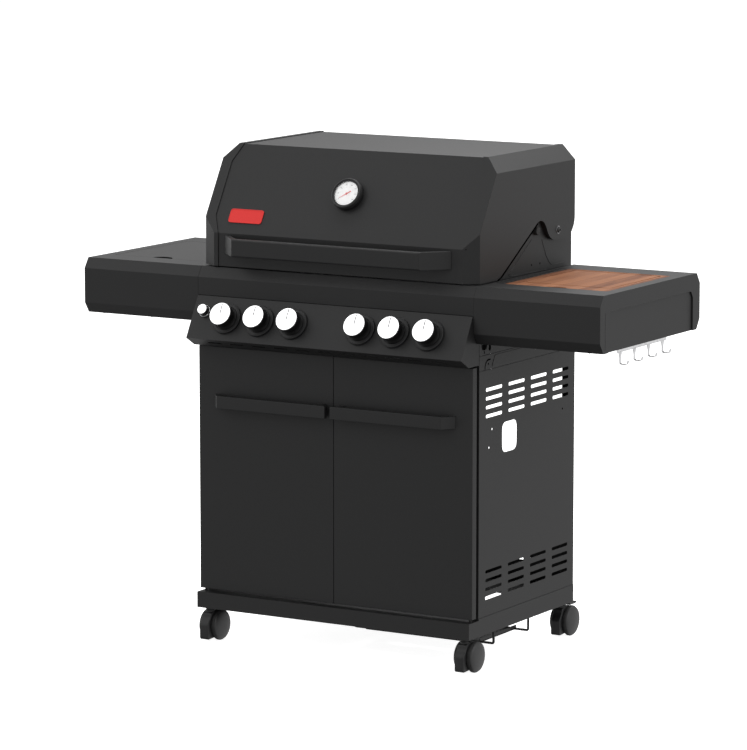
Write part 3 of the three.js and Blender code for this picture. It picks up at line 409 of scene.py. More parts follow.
def dress(node, finish, width):
    """Gives a frame node its finish, with the facets of each flat face joined and its edges rounded."""
    piece = frame["nodes"][node]
    piece.data.materials.clear()
    piece.data.materials.append(finish_of(finish))
    if "custom_normal" in piece.data.attributes:
        piece.data.attributes.remove(piece.data.attributes["custom_normal"])
    piece.data.polygons.foreach_set("use_smooth", [True] * len(piece.data.polygons))
    weld = piece.modifiers.new("Joined corners", "WELD")
    weld.merge_threshold = 1e-5
    if not width:
        split = piece.modifiers.new("Crisp folds", "EDGE_SPLIT")
        split.split_angle = math.radians(18)
        return
    flat = piece.modifiers.new("Flat faces", "DECIMATE")
    flat.decimate_type, flat.angle_limit = "DISSOLVE", math.radians(0.8)
    round_edges(piece, width)
    even_normals(piece)


def carve(piece, cutters):
    """Cuts shapes in millimetres out of a piece."""
    for i, shape in enumerate(cutters):
        mesh = new_mesh("cutter", [shape], PLAN, 1e-6)
        tool = bpy.data.objects.new(f"cutter_{i}", mesh)
        bpy.context.scene.collection.objects.link(tool)
        cut = piece.modifiers.new("Cut", "BOOLEAN")
        cut.operation, cut.solver, cut.object = "DIFFERENCE", "EXACT", tool
        result = bpy.data.meshes.new_from_object(
            piece.evaluated_get(bpy.context.evaluated_depsgraph_get()))
        piece.modifiers.remove(cut)
        old = piece.data
        piece.data = result
        bpy.data.meshes.remove(old)
        bpy.data.objects.remove(tool)
        bpy.data.meshes.remove(mesh)
    piece.data.shade_smooth()
    piece.data.set_sharp_from_angle(angle=math.radians(35))


# ------------------------------------------------------------------ materials
def new_finish(name, tone, roughness, metallic=0.0, specular=0.5):
    material = bpy.data.materials.new(name)
    material.use_nodes = True
    shader = material.node_tree.nodes["Principled BSDF"]
    shader.inputs["Base Color"].default_value = (*tone, 1)
    shader.inputs["Roughness"].default_value = roughness
    shader.inputs["Metallic"].default_value = metallic
    shader.inputs["Specular IOR Level"].default_value = specular
    return material


def add_node(material, kind, **inputs):
    node = material.node_tree.nodes.new(kind)
    for name, value in inputs.items():
        node.inputs[name.replace("_", " ")].default_value = value
    return node


def join_nodes(material, output, target):
    material.node_tree.links.new(output, target)


def shader_input(material, name):
    return material.node_tree.nodes["Principled BSDF"].inputs[name]


def noise(material, scale, detail=2.0, stretch=(1, 1, 1)):
    """Noise over the piece's own coordinates, in metres."""
    coordinates = add_node(material, "ShaderNodeTexCoord")
    mapping = add_node(material, "ShaderNodeMapping", Scale=stretch)
    texture = add_node(material, "ShaderNodeTexNoise", Scale=scale, Detail=detail)
    join_nodes(material, coordinates.outputs["Object"], mapping.inputs["Vector"])
    join_nodes(material, mapping.outputs["Vector"], texture.inputs["Vector"])
    return texture.outputs["Fac"]


def vary_colour(material, source, dark, light, low=0.35, high=0.65):
    ramp = add_node(material, "ShaderNodeValToRGB")
    ramp.color_ramp.elements[0].position, ramp.color_ramp.elements[0].color = low, (*dark, 1)
    ramp.color_ramp.elements[1].position, ramp.color_ramp.elements[1].color = high, (*light, 1)
    join_nodes(material, source, ramp.inputs["Fac"])
    join_nodes(material, ramp.outputs["Color"], shader_input(material, "Base Color"))


def vary_roughness(material, source, low, high):
    spread = add_node(material, "ShaderNodeMapRange", From_Min=0.3, From_Max=0.7, To_Min=low, To_Max=high)
    join_nodes(material, source, spread.inputs["Value"])
    join_nodes(material, spread.outputs["Result"], shader_input(material, "Roughness"))


def add_bump(material, source, strength, depth):
    bump = add_node(material, "ShaderNodeBump", Strength=strength, Distance=depth)
    join_nodes(material, source, bump.inputs["Height"])
    join_nodes(material, bump.outputs["Normal"], shader_input(material, "Normal"))


def scaled(tone, factor):
    return tuple(min(1.0, channel * factor) for channel in tone)


def surface(name, tone, roughness, metallic=0.0, specular=0.5, tones=None, sheen=None, bump=None):
    """A finish that noise varies: its colour, roughness and height, each as (scale, detail, amounts)."""
    material = new_finish(name, tone, roughness, metallic, specular)
    for vary, amounts in ((vary_colour, tones), (vary_roughness, sheen), (add_bump, bump)):
        if amounts:
            scale, detail, *rest = amounts
            vary(material, noise(material, scale, detail), *rest)
    return material


def powder_coat(tone):
    """Satin powder coat: a fine orange-peel surface with faint clouding."""
    return surface("powder coat", tone, 0.52, specular=0.36, bump=(1800, 2, 0.06, 0.0001),
                   tones=(420, 2, scaled(tone, 0.93), scaled(tone, 1.07)), sheen=(700, 2, 0.50, 0.54))


def porcelain_enamel(tone):
    """Glossy black enamel with the pale specks that it is fired with."""
    return surface("porcelain enamel", tone, 0.2, bump=(160, 2, 0.06, 0.0006),
                   tones=(950, 1, tone, (0.09, 0.09, 0.095), 0.66, 0.78), sheen=(30, 2, 0.16, 0.28))


def brushed_steel(name, tone, roughness, stretch):
    """Steel with a fine grain in one direction."""
    material = new_finish(name, tone, roughness, metallic=1.0)
    grain = noise(material, 40, 4, stretch)
    vary_colour(material, grain, scaled(tone, 0.86), scaled(tone, 1.08))
    vary_roughness(material, grain, roughness * 0.8, roughness * 1.25)
    add_bump(material, grain, 0.05, 0.0001)
    return material


def polished_steel():
    return surface("polished steel", (0.90, 0.91, 0.92), 0.09, metallic=1.0,
                   sheen=(120, 3, 0.06, 0.13), bump=(60, 2, 0.02, 0.0004))


def knob_cap_metal():
    """Bright spun aluminium: its fine rings would be too small to see, so only its sheen varies."""
    return surface("spun aluminium", (0.97, 0.97, 0.975), 0.2, metallic=1.0,
                   sheen=(700, 2, 0.17, 0.26), bump=(900, 2, 0.02, 0.0001))


def moulded_plastic(name, tone, roughness, grain=1.0, specular=0.42):
    """Moulded plastic with a fine spark-eroded grain."""
    return surface(name, tone, roughness, specular=specular, bump=(2200, 2, 0.12 * grain, 0.00015),
                   tones=(26, 2, scaled(tone, 0.88), scaled(tone, 1.14)),
                   sheen=(240, 2, roughness * 0.9, roughness * 1.12))


def cast_iron():
    return surface("seasoned cast iron", (0.014, 0.013, 0.0125), 0.6, specular=0.4,
                   tones=(35, 4, (0.010, 0.0095, 0.009), (0.022, 0.019, 0.017)),
                   sheen=(120, 3, 0.5, 0.75), bump=(620, 4, 0.45, 0.0005))


def gloss_paint(name, tone):
    return surface(name, tone, 0.45, specular=0.15, sheen=(900, 2, 0.42, 0.48),
                   tones=(500, 2, scaled(tone, 0.97), scaled(tone, 1.03)))


def rubber():
    return surface("tread rubber", (0.02, 0.02, 0.02), 0.75, specular=0.3,
                   tones=(60, 3, (0.016, 0.016, 0.016), (0.027, 0.027, 0.027)),
                   bump=(900, 3, 0.25, 0.0002))


def dial_white():
    """White enamel with a faint painted glow, so that the dial reads behind its glass."""
    material = surface("dial enamel with painted glow", (0.86, 0.86, 0.855), 0.4,
                       tones=(120, 2, (0.83, 0.83, 0.825), (0.89, 0.89, 0.885)))
    # Painted light: the dial glows faintly though it is no lamp.
    shader_input(material, "Emission Color").default_value = (1, 1, 1, 1)
    shader_input(material, "Emission Strength").default_value = 0.25
    return material


def lens_glass():
    """Clear flat glass: what is behind shows through, and its face reflects a little."""
    material = bpy.data.materials.new("gauge glass")
    material.use_nodes = True
    nodes = material.node_tree.nodes
    nodes.remove(nodes["Principled BSDF"])
    clear = add_node(material, "ShaderNodeBsdfTransparent")
    gloss = add_node(material, "ShaderNodeBsdfGlossy", Roughness=0.05)
    gloss.inputs["Color"].default_value = (1, 1, 1, 1)
    facing_share = add_node(material, "ShaderNodeFresnel", IOR=1.35)
    mix = add_node(material, "ShaderNodeMixShader")
    join_nodes(material, facing_share.outputs["Fac"], mix.inputs[0])
    join_nodes(material, clear.outputs["BSDF"], mix.inputs[1])
    join_nodes(material, gloss.outputs["BSDF"], mix.inputs[2])
    join_nodes(material, mix.outputs["Shader"], nodes["Material Output"].inputs["Surface"])
    return material


def laminated_wood(finishes):
    """Oiled strips glued side by side, their grain along y, each strip in its own tone."""
    strip_width = 0.0335
    material = new_finish("laminated wood", finishes.wood_light, 0.6, specular=0.15)
    coordinates = add_node(material, "ShaderNodeTexCoord")
    split = add_node(material, "ShaderNodeSeparateXYZ")
    join_nodes(material, coordinates.outputs["Object"], split.inputs["Vector"])

    def math_node(operation, value, other=None):
        node = add_node(material, "ShaderNodeMath")
        node.operation = operation
        for socket, source in zip(node.inputs, (value, other)):
            if isinstance(source, (int, float)):
                socket.default_value = source
            elif source is not None:
                join_nodes(material, source, socket)
        return node.outputs["Value"]

    strips = math_node("DIVIDE", split.outputs["X"], strip_width)
    tone = add_node(material, "ShaderNodeTexWhiteNoise")
    tone.noise_dimensions = "1D"
    join_nodes(material, math_node("FLOOR", strips), tone.inputs["W"])
    wide_grain = noise(material, 9, 4, (9, 1, 9))
    fine_grain = noise(material, 60, 3, (14, 0.7, 14))
    blend = math_node("MULTIPLY", tone.outputs["Value"], 0.34)
    blend = math_node("ADD", blend, math_node("MULTIPLY", wide_grain, 0.5))
    blend = math_node("ADD", blend, math_node("MULTIPLY", fine_grain, 0.36))
    vary_colour(material, blend, finishes.wood_dark, finishes.wood_light, 0.34, 0.86)
    ramp = next(n for n in material.node_tree.nodes if n.type == "VALTORGB")
    middle = ramp.color_ramp.elements.new(0.55)
    middle.color = (*(0.5 * (a + b) for a, b in zip(finishes.wood_dark, finishes.wood_light)), 1)
    joint = math_node("LESS_THAN", math_node("FRACT", strips), 0.022)
    shade = add_node(material, "ShaderNodeMix")
    shade.data_type, shade.blend_type = "RGBA", "MULTIPLY"
    shade.inputs[7].default_value = (0.5, 0.42, 0.38, 1)
    join_nodes(material, joint, shade.inputs["Factor"])
    join_nodes(material, ramp.outputs["Color"], shade.inputs[6])
    join_nodes(material, shade.outputs[2], shader_input(material, "Base Color"))
    vary_roughness(material, fine_grain, 0.55, 0.68)
    add_bump(material, fine_grain, 0.18, 0.0004)
    return material


FINISHES = {}


def finish_of(name):
    """The material of that name, made the first time that it is asked for."""
    if name not in FINISHES:
        finishes = bpy.context.scene.barbecue_finishes
        makers = {
            "coat": lambda: powder_coat(finishes.coat),
            "enamel": lambda: porcelain_enamel(finishes.enamel),
            "stainless": lambda: brushed_steel("brushed stainless", (0.56, 0.56, 0.57), 0.3, (20, 1, 20)),
            "polished": polished_steel,
            "hook": lambda: brushed_steel("zinc-plated steel", (0.80, 0.80, 0.81), 0.32, (3, 3, 3)),
            "cap": knob_cap_metal,
            "plastic": lambda: moulded_plastic("black plastic", finishes.plastic, 0.45),
            "knob": lambda: moulded_plastic("knob plastic", (0.0045, 0.0045, 0.0047), 0.34, 0.5),
            "bezel": lambda: moulded_plastic("bezel plastic", (0.013, 0.013, 0.0135), 0.5),
            "wheel": lambda: moulded_plastic("wheel plastic", (0.026, 0.026, 0.0265), 0.42),
            "rubber": rubber,
            "iron": cast_iron,
            "red": lambda: gloss_paint("red paint", finishes.accent),
            "ink": lambda: gloss_paint("dial ink", (0.05, 0.055, 0.07)),
            "mark": lambda: moulded_plastic("pointer paint", (0.006, 0.006, 0.0065), 0.6),
            # Near-black paint that stands for the shade inside holes and recesses: painted shade.
            "dark": lambda: gloss_paint("port shadow", (0.004, 0.004, 0.004)),
            # Near-black matte finish of the painted shadow in the gap under each hood cap.
            "void": lambda: moulded_plastic("painted gap shadow", (0.0012, 0.0012, 0.0012), 0.95, 0.2, 0.0),
            "dial": dial_white,
            "glass": lens_glass,
            "wood": lambda: laminated_wood(finishes),
            "screw": lambda: brushed_steel("zinc screw", (0.30, 0.30, 0.31), 0.35, (4, 4, 4)),
            "black screw": lambda: moulded_plastic("blacked screw", (0.02, 0.02, 0.02), 0.35, 0.3),
        }
        FINISHES[name] = makers[name]()
    return FINISHES[name]


# ------------------------------------------------------------------ operators
class BARBECUE_OT_sheet_metal(bpy.types.Operator):
    """Coat the folded sheet metal of the frame and round its edges"""
    bl_idname = "barbecue.sheet_metal"
    bl_label = "Sheet Metal"

    def execute(self, context):
        edge = context.scene.barbecue_finishes.sheet_edge
        for node in ("base_tray", "center_fascia", "control_panel", "shelf_left", "shelf_right",
                     "side_burner_lid", "lid_shell"):
            dress(node, "coat", edge)
        for side, _ in SIDES:
            for node in ("door", "firebox_side"):
                dress(f"{node}_{side}", "coat", edge)
            dress(f"lid_end_cap_{side}", "coat", 0)
            dress(f"door_handle_{side}", "coat", 2 * edge)
            dress(f"cooking_grate_{side}", "iron", 2 * edge)
        dress("lid_handle", "coat", 2 * edge)
        dress("firebox", "enamel", edge)
        dress("side_burner", "iron", edge)
        for node in ("gas_manifold", "grease_tray", "rear_burner"):
            dress(node, "stainless", edge / 2)
        return {"FINISHED"}


class BARBECUE_OT_side_panels(bpy.types.Operator):
    """Add the slotted side panels of the cabinet, with their rails and folded lips"""
    bl_idname = "barbecue.side_panels"
    bl_label = "Side Panels"

    def execute(self, context):
        for side, sign in SIDES:
            self.add_panel(side, sign)
        return {"FINISHED"}

    @staticmethod
    def add_panel(side, sign):
        node = f"side_panel_{side}"
        low, high = span(node)
        sheet, embossing, groove = 1.5, 0.8, 1.0
        outer = max(abs(low.x), abs(high.x)) - embossing
        front, rear, bottom, top = low.y, high.y, low.z, high.z
        rail_low, rail_high = top - 166, top - 130
        # Slots and holes as (from the front, from the panel's top or bottom).
        slots = [slot_at(front + 72.6 + 110 * column, z, 79, 8, 3.8, 5)
                 for column in range(4) for row in range(4)
                 for z in (top - 214 - 20.9 * row, bottom + 106 - 20.9 * row)]
        grip = slot_at(front + 148.1, top - 338, 72, 72, 19, 8)
        screw_holes = [slot_at(front + y, top - z, 5.5, 5.5, 2.7)
                       for y, z in ((63.5, 310), (48.9, 352.5), (rear - front - 62, 310))]
        lower = [rectangle(front, rear, bottom, rail_low - groove), *slots, grip, *screw_holes]
        curve = eased([(front + 27, rail_low + 1.4), (front + 28.5, rail_low + 14),
                       (front + 38, rail_low + 22.6), (front + 53.6, rail_low + 22.9)], 9)
        rail = [rectangle(front, rear, rail_low, rail_high - groove), ribbon(curve, 4),
                slot_at(front + 43.5, rail_low + 13, 5, 5, 2.4)]
        upper = [rectangle(front, rear, rail_high, top), slot_at(front + 23.6, top - 105, 27, 27, 13, 8),
                 slot_at(front + 50.2, top - 109, 11, 26, 4.5),
                 slot_at(front + 23.7, top - 123.5, 5.5, 5.5, 2.7)]
        skins = [moved(plate(outlines, outer - sheet, outer, 0.35), END_VIEW)
                 for outlines in (lower, rail, upper)]
        band = plate([eased([(front + 60, rail_low + 4), (rear - 17, rail_low + 4),
                             (rear - 17, rail_high - 5), (front + 74, rail_high - 5)], 6, closed=True)],
                     outer - 0.2, outer + embossing, 0.6, 2)
        straps = [rectangle(start, end, rail_low - 8, rail_high + 8)
                  for start, end in ((front + 4, front + 22), (front + 60, rear - 4))]
        backing = [moved(plate([strap], outer - sheet - 1.2, outer - sheet + 0.05, 0.2), END_VIEW)
                   for strap in straps]
        inner = outer - sheet + 0.2
        lips = [block((inner - 22, front, bottom), (inner, front + sheet, top), 0.5),
                block((outer - 34, rear - sheet, bottom), (inner, rear, top - 145), 0.5),
                block((inner - 20, front + sheet, bottom), (inner, rear - sheet, bottom + sheet), 0.5),
                block((inner - 21, front + 3, top - 178), (inner - 19, front + 92, top - 2), 0.5)]
        shapes = [*skins, moved(band, END_VIEW), *backing, *lips]
        add_piece(node + "_sheet", [moved(shape, mirrored(sign)) for shape in shapes], "coat",
                  "cart", stands_for=(node,))


class BARBECUE_OT_back_panel(bpy.types.Operator):
    """Add the slotted back panel with its screws"""
    bl_idname = "barbecue.back_panel"
    bl_label = "Back Panel"

    def execute(self, context):
        low, high = span("back_panel")
        sheet = 1.5
        columns = 5
        slots = [slot_at(110 * (column - (columns - 1) / 2), low.z + 56 + 20.9 * row, 79, 8, 3.8, 5)
                 for column in range(columns) for row in range(3)]
        wall = plate([rectangle(low.x, high.x, low.z, high.z, 2), *slots], -high.y, sheet - high.y, 0.35)
        hems = [block((low.x, low.y, z), (high.x, high.y - sheet + 0.2, z + sheet), 0.5)
                for z in (low.z, high.z - sheet)]
        add_piece("back_panel_sheet", [moved(wall, FRONT_VIEW), *hems], "coat", "cart",
                  stands_for=("back_panel",))
        seats = [lift(x, high.y, z) @ Matrix.Rotation(math.radians(-90), 4, "X")
                 for x in (low.x + 12, high.x - 12)
                 for z in (low.z + 20, (low.z + high.z) / 2, high.z - 20)]
        add_screws("back_panel_screw", seats)
        return {"FINISHED"}


class BARBECUE_OT_knobs(bpy.types.Operator):
    """Add the six knobs with their spun caps, pointer lines and bezels"""
    bl_idname = "barbecue.knobs"
    bl_label = "Knobs"

    def execute(self, context):
        controls = context.scene.barbecue_controls
        radius, top = controls.knob_diameter / 2 / MM, controls.knob_height / MM
        ring = controls.bezel_diameter / 2 / MM
        skirt = radius + 1.2
        body = lathe([(4.6, 4.2), (skirt - 0.9, 4.2), (skirt, 5.0), (skirt, 8.2), (skirt - 0.7, 8.9),
                      (radius + 0.1, 9.3), (radius - 0.1, 13.2), (radius - 0.6, 13.5), (radius - 0.6, 14.1),
                      (radius - 0.1, 14.4), (radius - 0.2, top - 4.8), (radius - 0.7, top - 4.5),
                      (radius - 0.7, top - 3.9), (radius - 0.2, top - 3.6), (radius - 0.2, top - 2.1),
                      (radius - 0.6, top - 1.7), (0, top - 1.7)], 96)
        cap = lathe([(0, top - 1.65), (radius - 0.4, top - 1.65), (radius, top - 1.3), (radius, top - 0.7),
                     (radius - 0.2, top - 0.25), (radius - 0.7, top), (0, top)], 96)
        line = controls.pointer_width / MM
        pointer = plate([slot_at(0, radius * 0.45, line, radius * 0.92, line * 0.45)],
                        top - 0.1, top + 0.3, 0.1)
        bezel = lathe([(9, 0.3), (ring - 0.3, 0.3), (ring, 0.9), (ring, 5.4), (ring - 0.4, 6.4),
                       (ring - 1.3, 7.0), (ring - 2.0, 7.0), (ring - 2.3, 6.5), (ring - 2.7, 6.5),
                       (ring - 3.0, 7.0), (radius + 2.7, 7.0), (radius + 2.1, 6.6), (radius + 1.9, 5.6),
                       (radius + 1.9, 2.4), (9, 2.4), (9, 0.3)], 96)
        dish = lathe([(9.2, 2.45), (radius + 1.8, 2.45), (radius + 1.6, 2.9), (9.2, 2.9), (9.2, 2.45)], 64)
        for i in KNOBS:
            centre, outward = joint_place(f"knob_{i}_turn")
            at = facing(centre, outward)
            add_piece(f"knob_body_{i}", [body], "knob", f"dial_{i}", at,
                      stands_for=(f"knob_{i}",))
            add_piece(f"knob_cap_{i}", [cap], "cap", f"dial_{i}", at)
            add_piece(f"knob_pointer_{i}", [pointer], "mark", f"dial_{i}", at)
            add_piece(f"bezel_ring_{i}", [bezel], "bezel", "cart", at,
                      stands_for=(f"knob_bezel_{i}",))
            add_piece(f"bezel_dish_{i}", [dish], "knob", "cart", at)
        return {"FINISHED"}


class BARBECUE_OT_igniter(bpy.types.Operator):
    """Add the igniter button and the chrome collar that it travels in"""
    bl_idname = "barbecue.igniter"
    bl_label = "Igniter"

    def execute(self, context):
        controls = context.scene.barbecue_controls
        low, high = span("igniter_button")
        _, outward = joint_place("knob_1_turn")
        middle = (low + high) / 2
        # The button's middle is halfway along its stem and head.
        stem_end, head_top = -12.0, 17.0
        face = middle - outward * (stem_end + head_top) / 2
        at = facing(face, outward)
        radius = controls.igniter_diameter / 2 / MM
        collar = controls.collar_diameter / 2 / MM
        neck = lathe([(0, stem_end), (6, stem_end), (6, 4.8), (radius - 1.4, 4.8), (radius - 0.6, 5.4),
                      (radius - 0.6, 12.4), (0, 12.4)], 64)
        cap = lathe([(0, 12.45), (radius - 0.6, 12.45), (radius, 13.0), (radius, head_top - 1.0),
                     (radius - 0.3, head_top - 0.3), (radius - 1.0, head_top), (0, head_top)], 64)
        ring = lathe([(radius + 0.6, 0.2), (collar - 0.3, 0.2), (collar, 0.6), (collar, 2.4),
                      (collar - 0.5, 3.8), (collar - 1.3, 4.4), (radius + 1.1, 4.2), (radius + 0.7, 3.6),
                      (radius + 0.6, 0.2)], 64)
        add_piece("igniter_cap", [cap], "cap", "igniter", at,
                  stands_for=("igniter_button",))
        add_piece("igniter_neck", [neck], "knob", "igniter", at)
        add_piece("igniter_collar", [ring], "polished", "cart", at)
        return {"FINISHED"}


class BARBECUE_OT_gauge(bpy.types.Operator):
    """Add the hood thermometer: housing, dial, scale, needle and glass"""
    bl_idname = "barbecue.gauge"
    bl_label = "Thermometer"

    def execute(self, context):
        gauge = context.scene.barbecue_gauge
        centre, inward = joint_place("temperature")
        at = facing(centre, -inward)
        radius, dial = gauge.diameter / 2 / MM, gauge.dial_diameter / 2 / MM
        face = 11.0
        housing = lathe([(dial - 1, face - 0.4), (dial, face - 0.4), (dial, 14.6), (dial + 0.7, 15.5),
                         (dial + 2.2, 15.7), (dial + 2.6, 15.2), (dial + 3.2, 15.2), (dial + 3.6, 16.4),
                         (dial + 4.8, 17.0), (radius - 1.6, 16.6), (radius - 0.3, 15.2), (radius, 13.6),
                         (radius, 11.4), (radius - 0.8, 10.8), (radius - 0.8, 10.2), (radius, 9.6),
                         (radius, 2.6), (radius - 1.0, -0.6), (radius - 3.2, -1.7), (4, -1.7), (4, -58),
                         (3, -62), (0, -62), (0, face - 1.4), (dial - 1, face - 1.4), (dial - 1, face - 0.4)],
                        96)
        add_piece("gauge_housing", [housing], "bezel", "hood", at,
                  stands_for=("thermometer",))
        disc = lathe([(1.7, face - 0.9), (dial - 0.1, face - 0.9), (dial - 0.1, face), (1.7, face),
                      (1.7, face - 0.9)], 96)
        add_piece("gauge_dial", [disc], "dial", "hood", at)
        self.add_scale(gauge, at, dial, face)
        self.add_needle(at, face)
        glass = lathe([(0, 14.1), (dial - 0.2, 13.6), (dial - 0.2, 14.2), (dial * 0.6, 14.75),
                       (0, 14.9)], 64)
        add_piece("gauge_glass", [glass], "glass", "hood", at)
        return {"FINISHED"}

    @staticmethod
    def add_scale(gauge, at, dial, face):
        printed = (face - 0.02, face + 0.08, 0.02)
        numbers = gauge.highest // gauge.step
        shapes = []
        for i in range(numbers * 5 + 1):
            angle = math.radians(DIAL_SWEEP / 2 - DIAL_SWEEP * i / (numbers * 5))
            long_mark = i % 5 == 0
            outer, inner = dial - 1.6, dial - (4.0 if long_mark else 2.8)
            width = 0.55 if long_mark else 0.3
            tick = plate([slot_at(0, (outer + inner) / 2, width, outer - inner, 0.1, 1)], *printed)
            shapes.append(moved(tick, Matrix.Rotation(angle, 4, "Z")))
            if long_mark:
                reach = dial - 7.4
                spot = lift(-math.sin(angle) * reach, math.cos(angle) * reach, face + 0.03)
                shapes.append(moved(lettering(str(gauge.step * i // 5), 4.6), spot))
                inner_mark = plate([slot_at(0, dial - 13.2, 0.5, 2.0, 0.1, 1)], *printed)
                shapes.append(moved(inner_mark, Matrix.Rotation(angle, 4, "Z")))
        add_piece("gauge_scale", shapes, "ink", "hood", at)

    @staticmethod
    def add_needle(at, face):
        # At rest it points to the first mark.
        turn = Matrix.Rotation(math.radians(DIAL_SWEEP / 2), 4, "Z")
        outline = [(-1.5, -12), (1.5, -12), (1.1, -3), (0.95, 4), (0.18, 21), (-0.18, 21), (-0.95, 4),
                   (-1.1, -3)]
        blade = plate([outline], face + 0.6, face + 1.2, 0.15)
        hub = lathe([(0, face - 2.3), (1.2, face - 2.3), (1.2, face + 0.3), (2.7, face + 0.4),
                     (3.0, face + 0.8), (2.8, face + 1.4), (1.6, face + 1.7), (0, face + 1.7)], 40)
        add_piece("gauge_needle", [moved(blade, turn), hub], "red", "needle", at,
                  stands_for=("thermometer_needle",))


class BARBECUE_OT_badge(bpy.types.Operator):
    """Add the plain red badge on the hood, with a raised border"""
    bl_idname = "barbecue.badge"
    bl_label = "Badge"

    def execute(self, context):
        low, high = span("badge")
        _, inward = joint_place("temperature")
        outward = -inward
        half_thick = 0.8
        width = high.x - low.x
        tall = (high.z - low.z - 2 * half_thick * outward.z) / -outward.y
        at = facing((low + high) / 2, outward)
        border = slot_at(0, 0, width, tall, 8, 8)
        field = slot_at(0, 0, width - 4, tall - 4, 6.4, 8)
        rim = plate([border, field], -half_thick, half_thick + 0.5, 0.4, 3)
        floor = plate([slot_at(0, 0, width - 1, tall - 1, 7.6, 8)], -half_thick, half_thick, 0.2)
        add_piece("badge_plate", [rim, floor], "red", "hood", at,
                  stands_for=("badge",))
        return {"FINISHED"}


class BARBECUE_OT_hinges(bpy.types.Operator):
    """Add the hood's hinge bolts, resting studs and cap edges, and the side plates' ridges"""
    bl_idname = "barbecue.hinges"
    bl_label = "Hood Hinges"

    def execute(self, context):
        hinge, _ = joint_place("lid_hinge")
        _, high = span("firebox_side_right")
        for side, sign in SIDES:
            outward = Matrix.Rotation(math.radians(90 * sign), 4, "Y")
            self.add_bolt(side, lift(sign * (high.x - 0.3), hinge.y, hinge.z) @ outward)
            self.add_plate_details(side, sign * (high.x - 14.8), hinge, outward)
            self.add_cap_edge(side, sign, hinge)
        return {"FINISHED"}

    @staticmethod
    def add_bolt(side, seat):
        head = lathe([(0, -2.4), (7.4, -2.4), (7.4, -0.6), (7.0, 0.6), (5.8, 1.6), (4.2, 1.9), (3.6, 1.9),
                      (3.6, 0.2), (0, 0.2)], 48)
        # The hexagon socket is a thin near-black disc at the bottom of the head's hollow: painted shade.
        socket = lathe([(0, 0.25), (3.5, 0.25), (3.5, 0.5), (0, 0.5)], 6)
        washer = lathe([(7.6, -2.6), (9.4, -2.6), (9.8, -2.3), (9.8, -1.9), (9.4, -1.6), (7.6, -1.6),
                        (7.6, -2.6)], 48)
        add_piece(f"hinge_bolt_{side}", [moved(head, seat)], "black screw", "cart")
        add_piece(f"hinge_bolt_socket_{side}", [moved(socket, seat)], "dark", "cart")
        add_piece(f"hinge_washer_{side}", [moved(washer, seat)], "screw", "cart")

    @staticmethod
    def add_plate_details(side, plate_face, hinge, outward):
        seat = lift(plate_face, hinge.y - 95.3, hinge.z + 5.7) @ outward
        sleeve = lathe([(9.1, 0.2), (9.6, 0.2), (9.9, 0.6), (9.9, 8.4), (9.3, 9.3), (8.2, 9.6), (0, 9.6)], 48)
        add_piece(f"rest_stud_sleeve_{side}", [moved(sleeve, seat)], "rubber", "cart")
        # The two pressed ridges as (from the hinge to the rear, up from the hinge).
        ridges = ([(-112, -13), (-227, -86), (-214, -90), (-40, -92)],
                  [(-61, -18), (-51, -38), (-40, -58), (-27, -73), (-12, -84), (51, -84)])
        beads = [wire([(plate_face, hinge.y + y, hinge.z + z) for y, z in ridge], 0.9, 8)
                 for ridge in ridges]
        add_piece(f"side_plate_ridges_{side}", beads, "coat", "cart")

    @staticmethod
    def add_cap_edge(side, sign, hinge):
        """A cap's lower edge, a near-black strip along it that is painted shadow of the gap under the cap,
        and the strip over the cap's front corner fold.
        """
        low, high = span(f"lid_end_cap_{side}")
        outer = max(abs(low.x), abs(high.x))
        at = mirrored(sign) @ lift(y=hinge.y, z=hinge.z) @ END_VIEW
        # The edge and the painted gap shadow as (from the hinge to the rear, up from the hinge).
        apron = [(-327, -88.6), (-296, -88.6), (-284, -83), (-104, 27), (-108, 27)]
        gap_shadow = ribbon([(-297, -89.2), (-282.6, -85.2), (-102.6, 24.8)], 4.6)
        add_piece(f"hood_apron_{side}", [plate([apron], outer - 2.2, outer - 0.02, 0.3)], "coat",
                  "hood", at)
        # Painted shadow: a near-black strip where the gap between the cap's lower edge and the side plate is
        # dark.
        add_piece(f"hood_gap_shadow_{side}", [plate([gap_shadow], outer - 2.2, outer + 0.1, 0.2)], "void",
                  "hood", at)
        # The strip's plan and its two ends. It closes the slit that the cap's fold has.
        corner = [(345.4, -223.12), (352.2, -219.2), (351.7, -218.33), (344.9, -222.25)]
        fold_low, fold_high = 920.3, 999.5
        add_piece(f"hood_corner_strip_{side}", [plate([corner], fold_low, fold_high, 0)], "coat",
                  "hood", mirrored(sign))


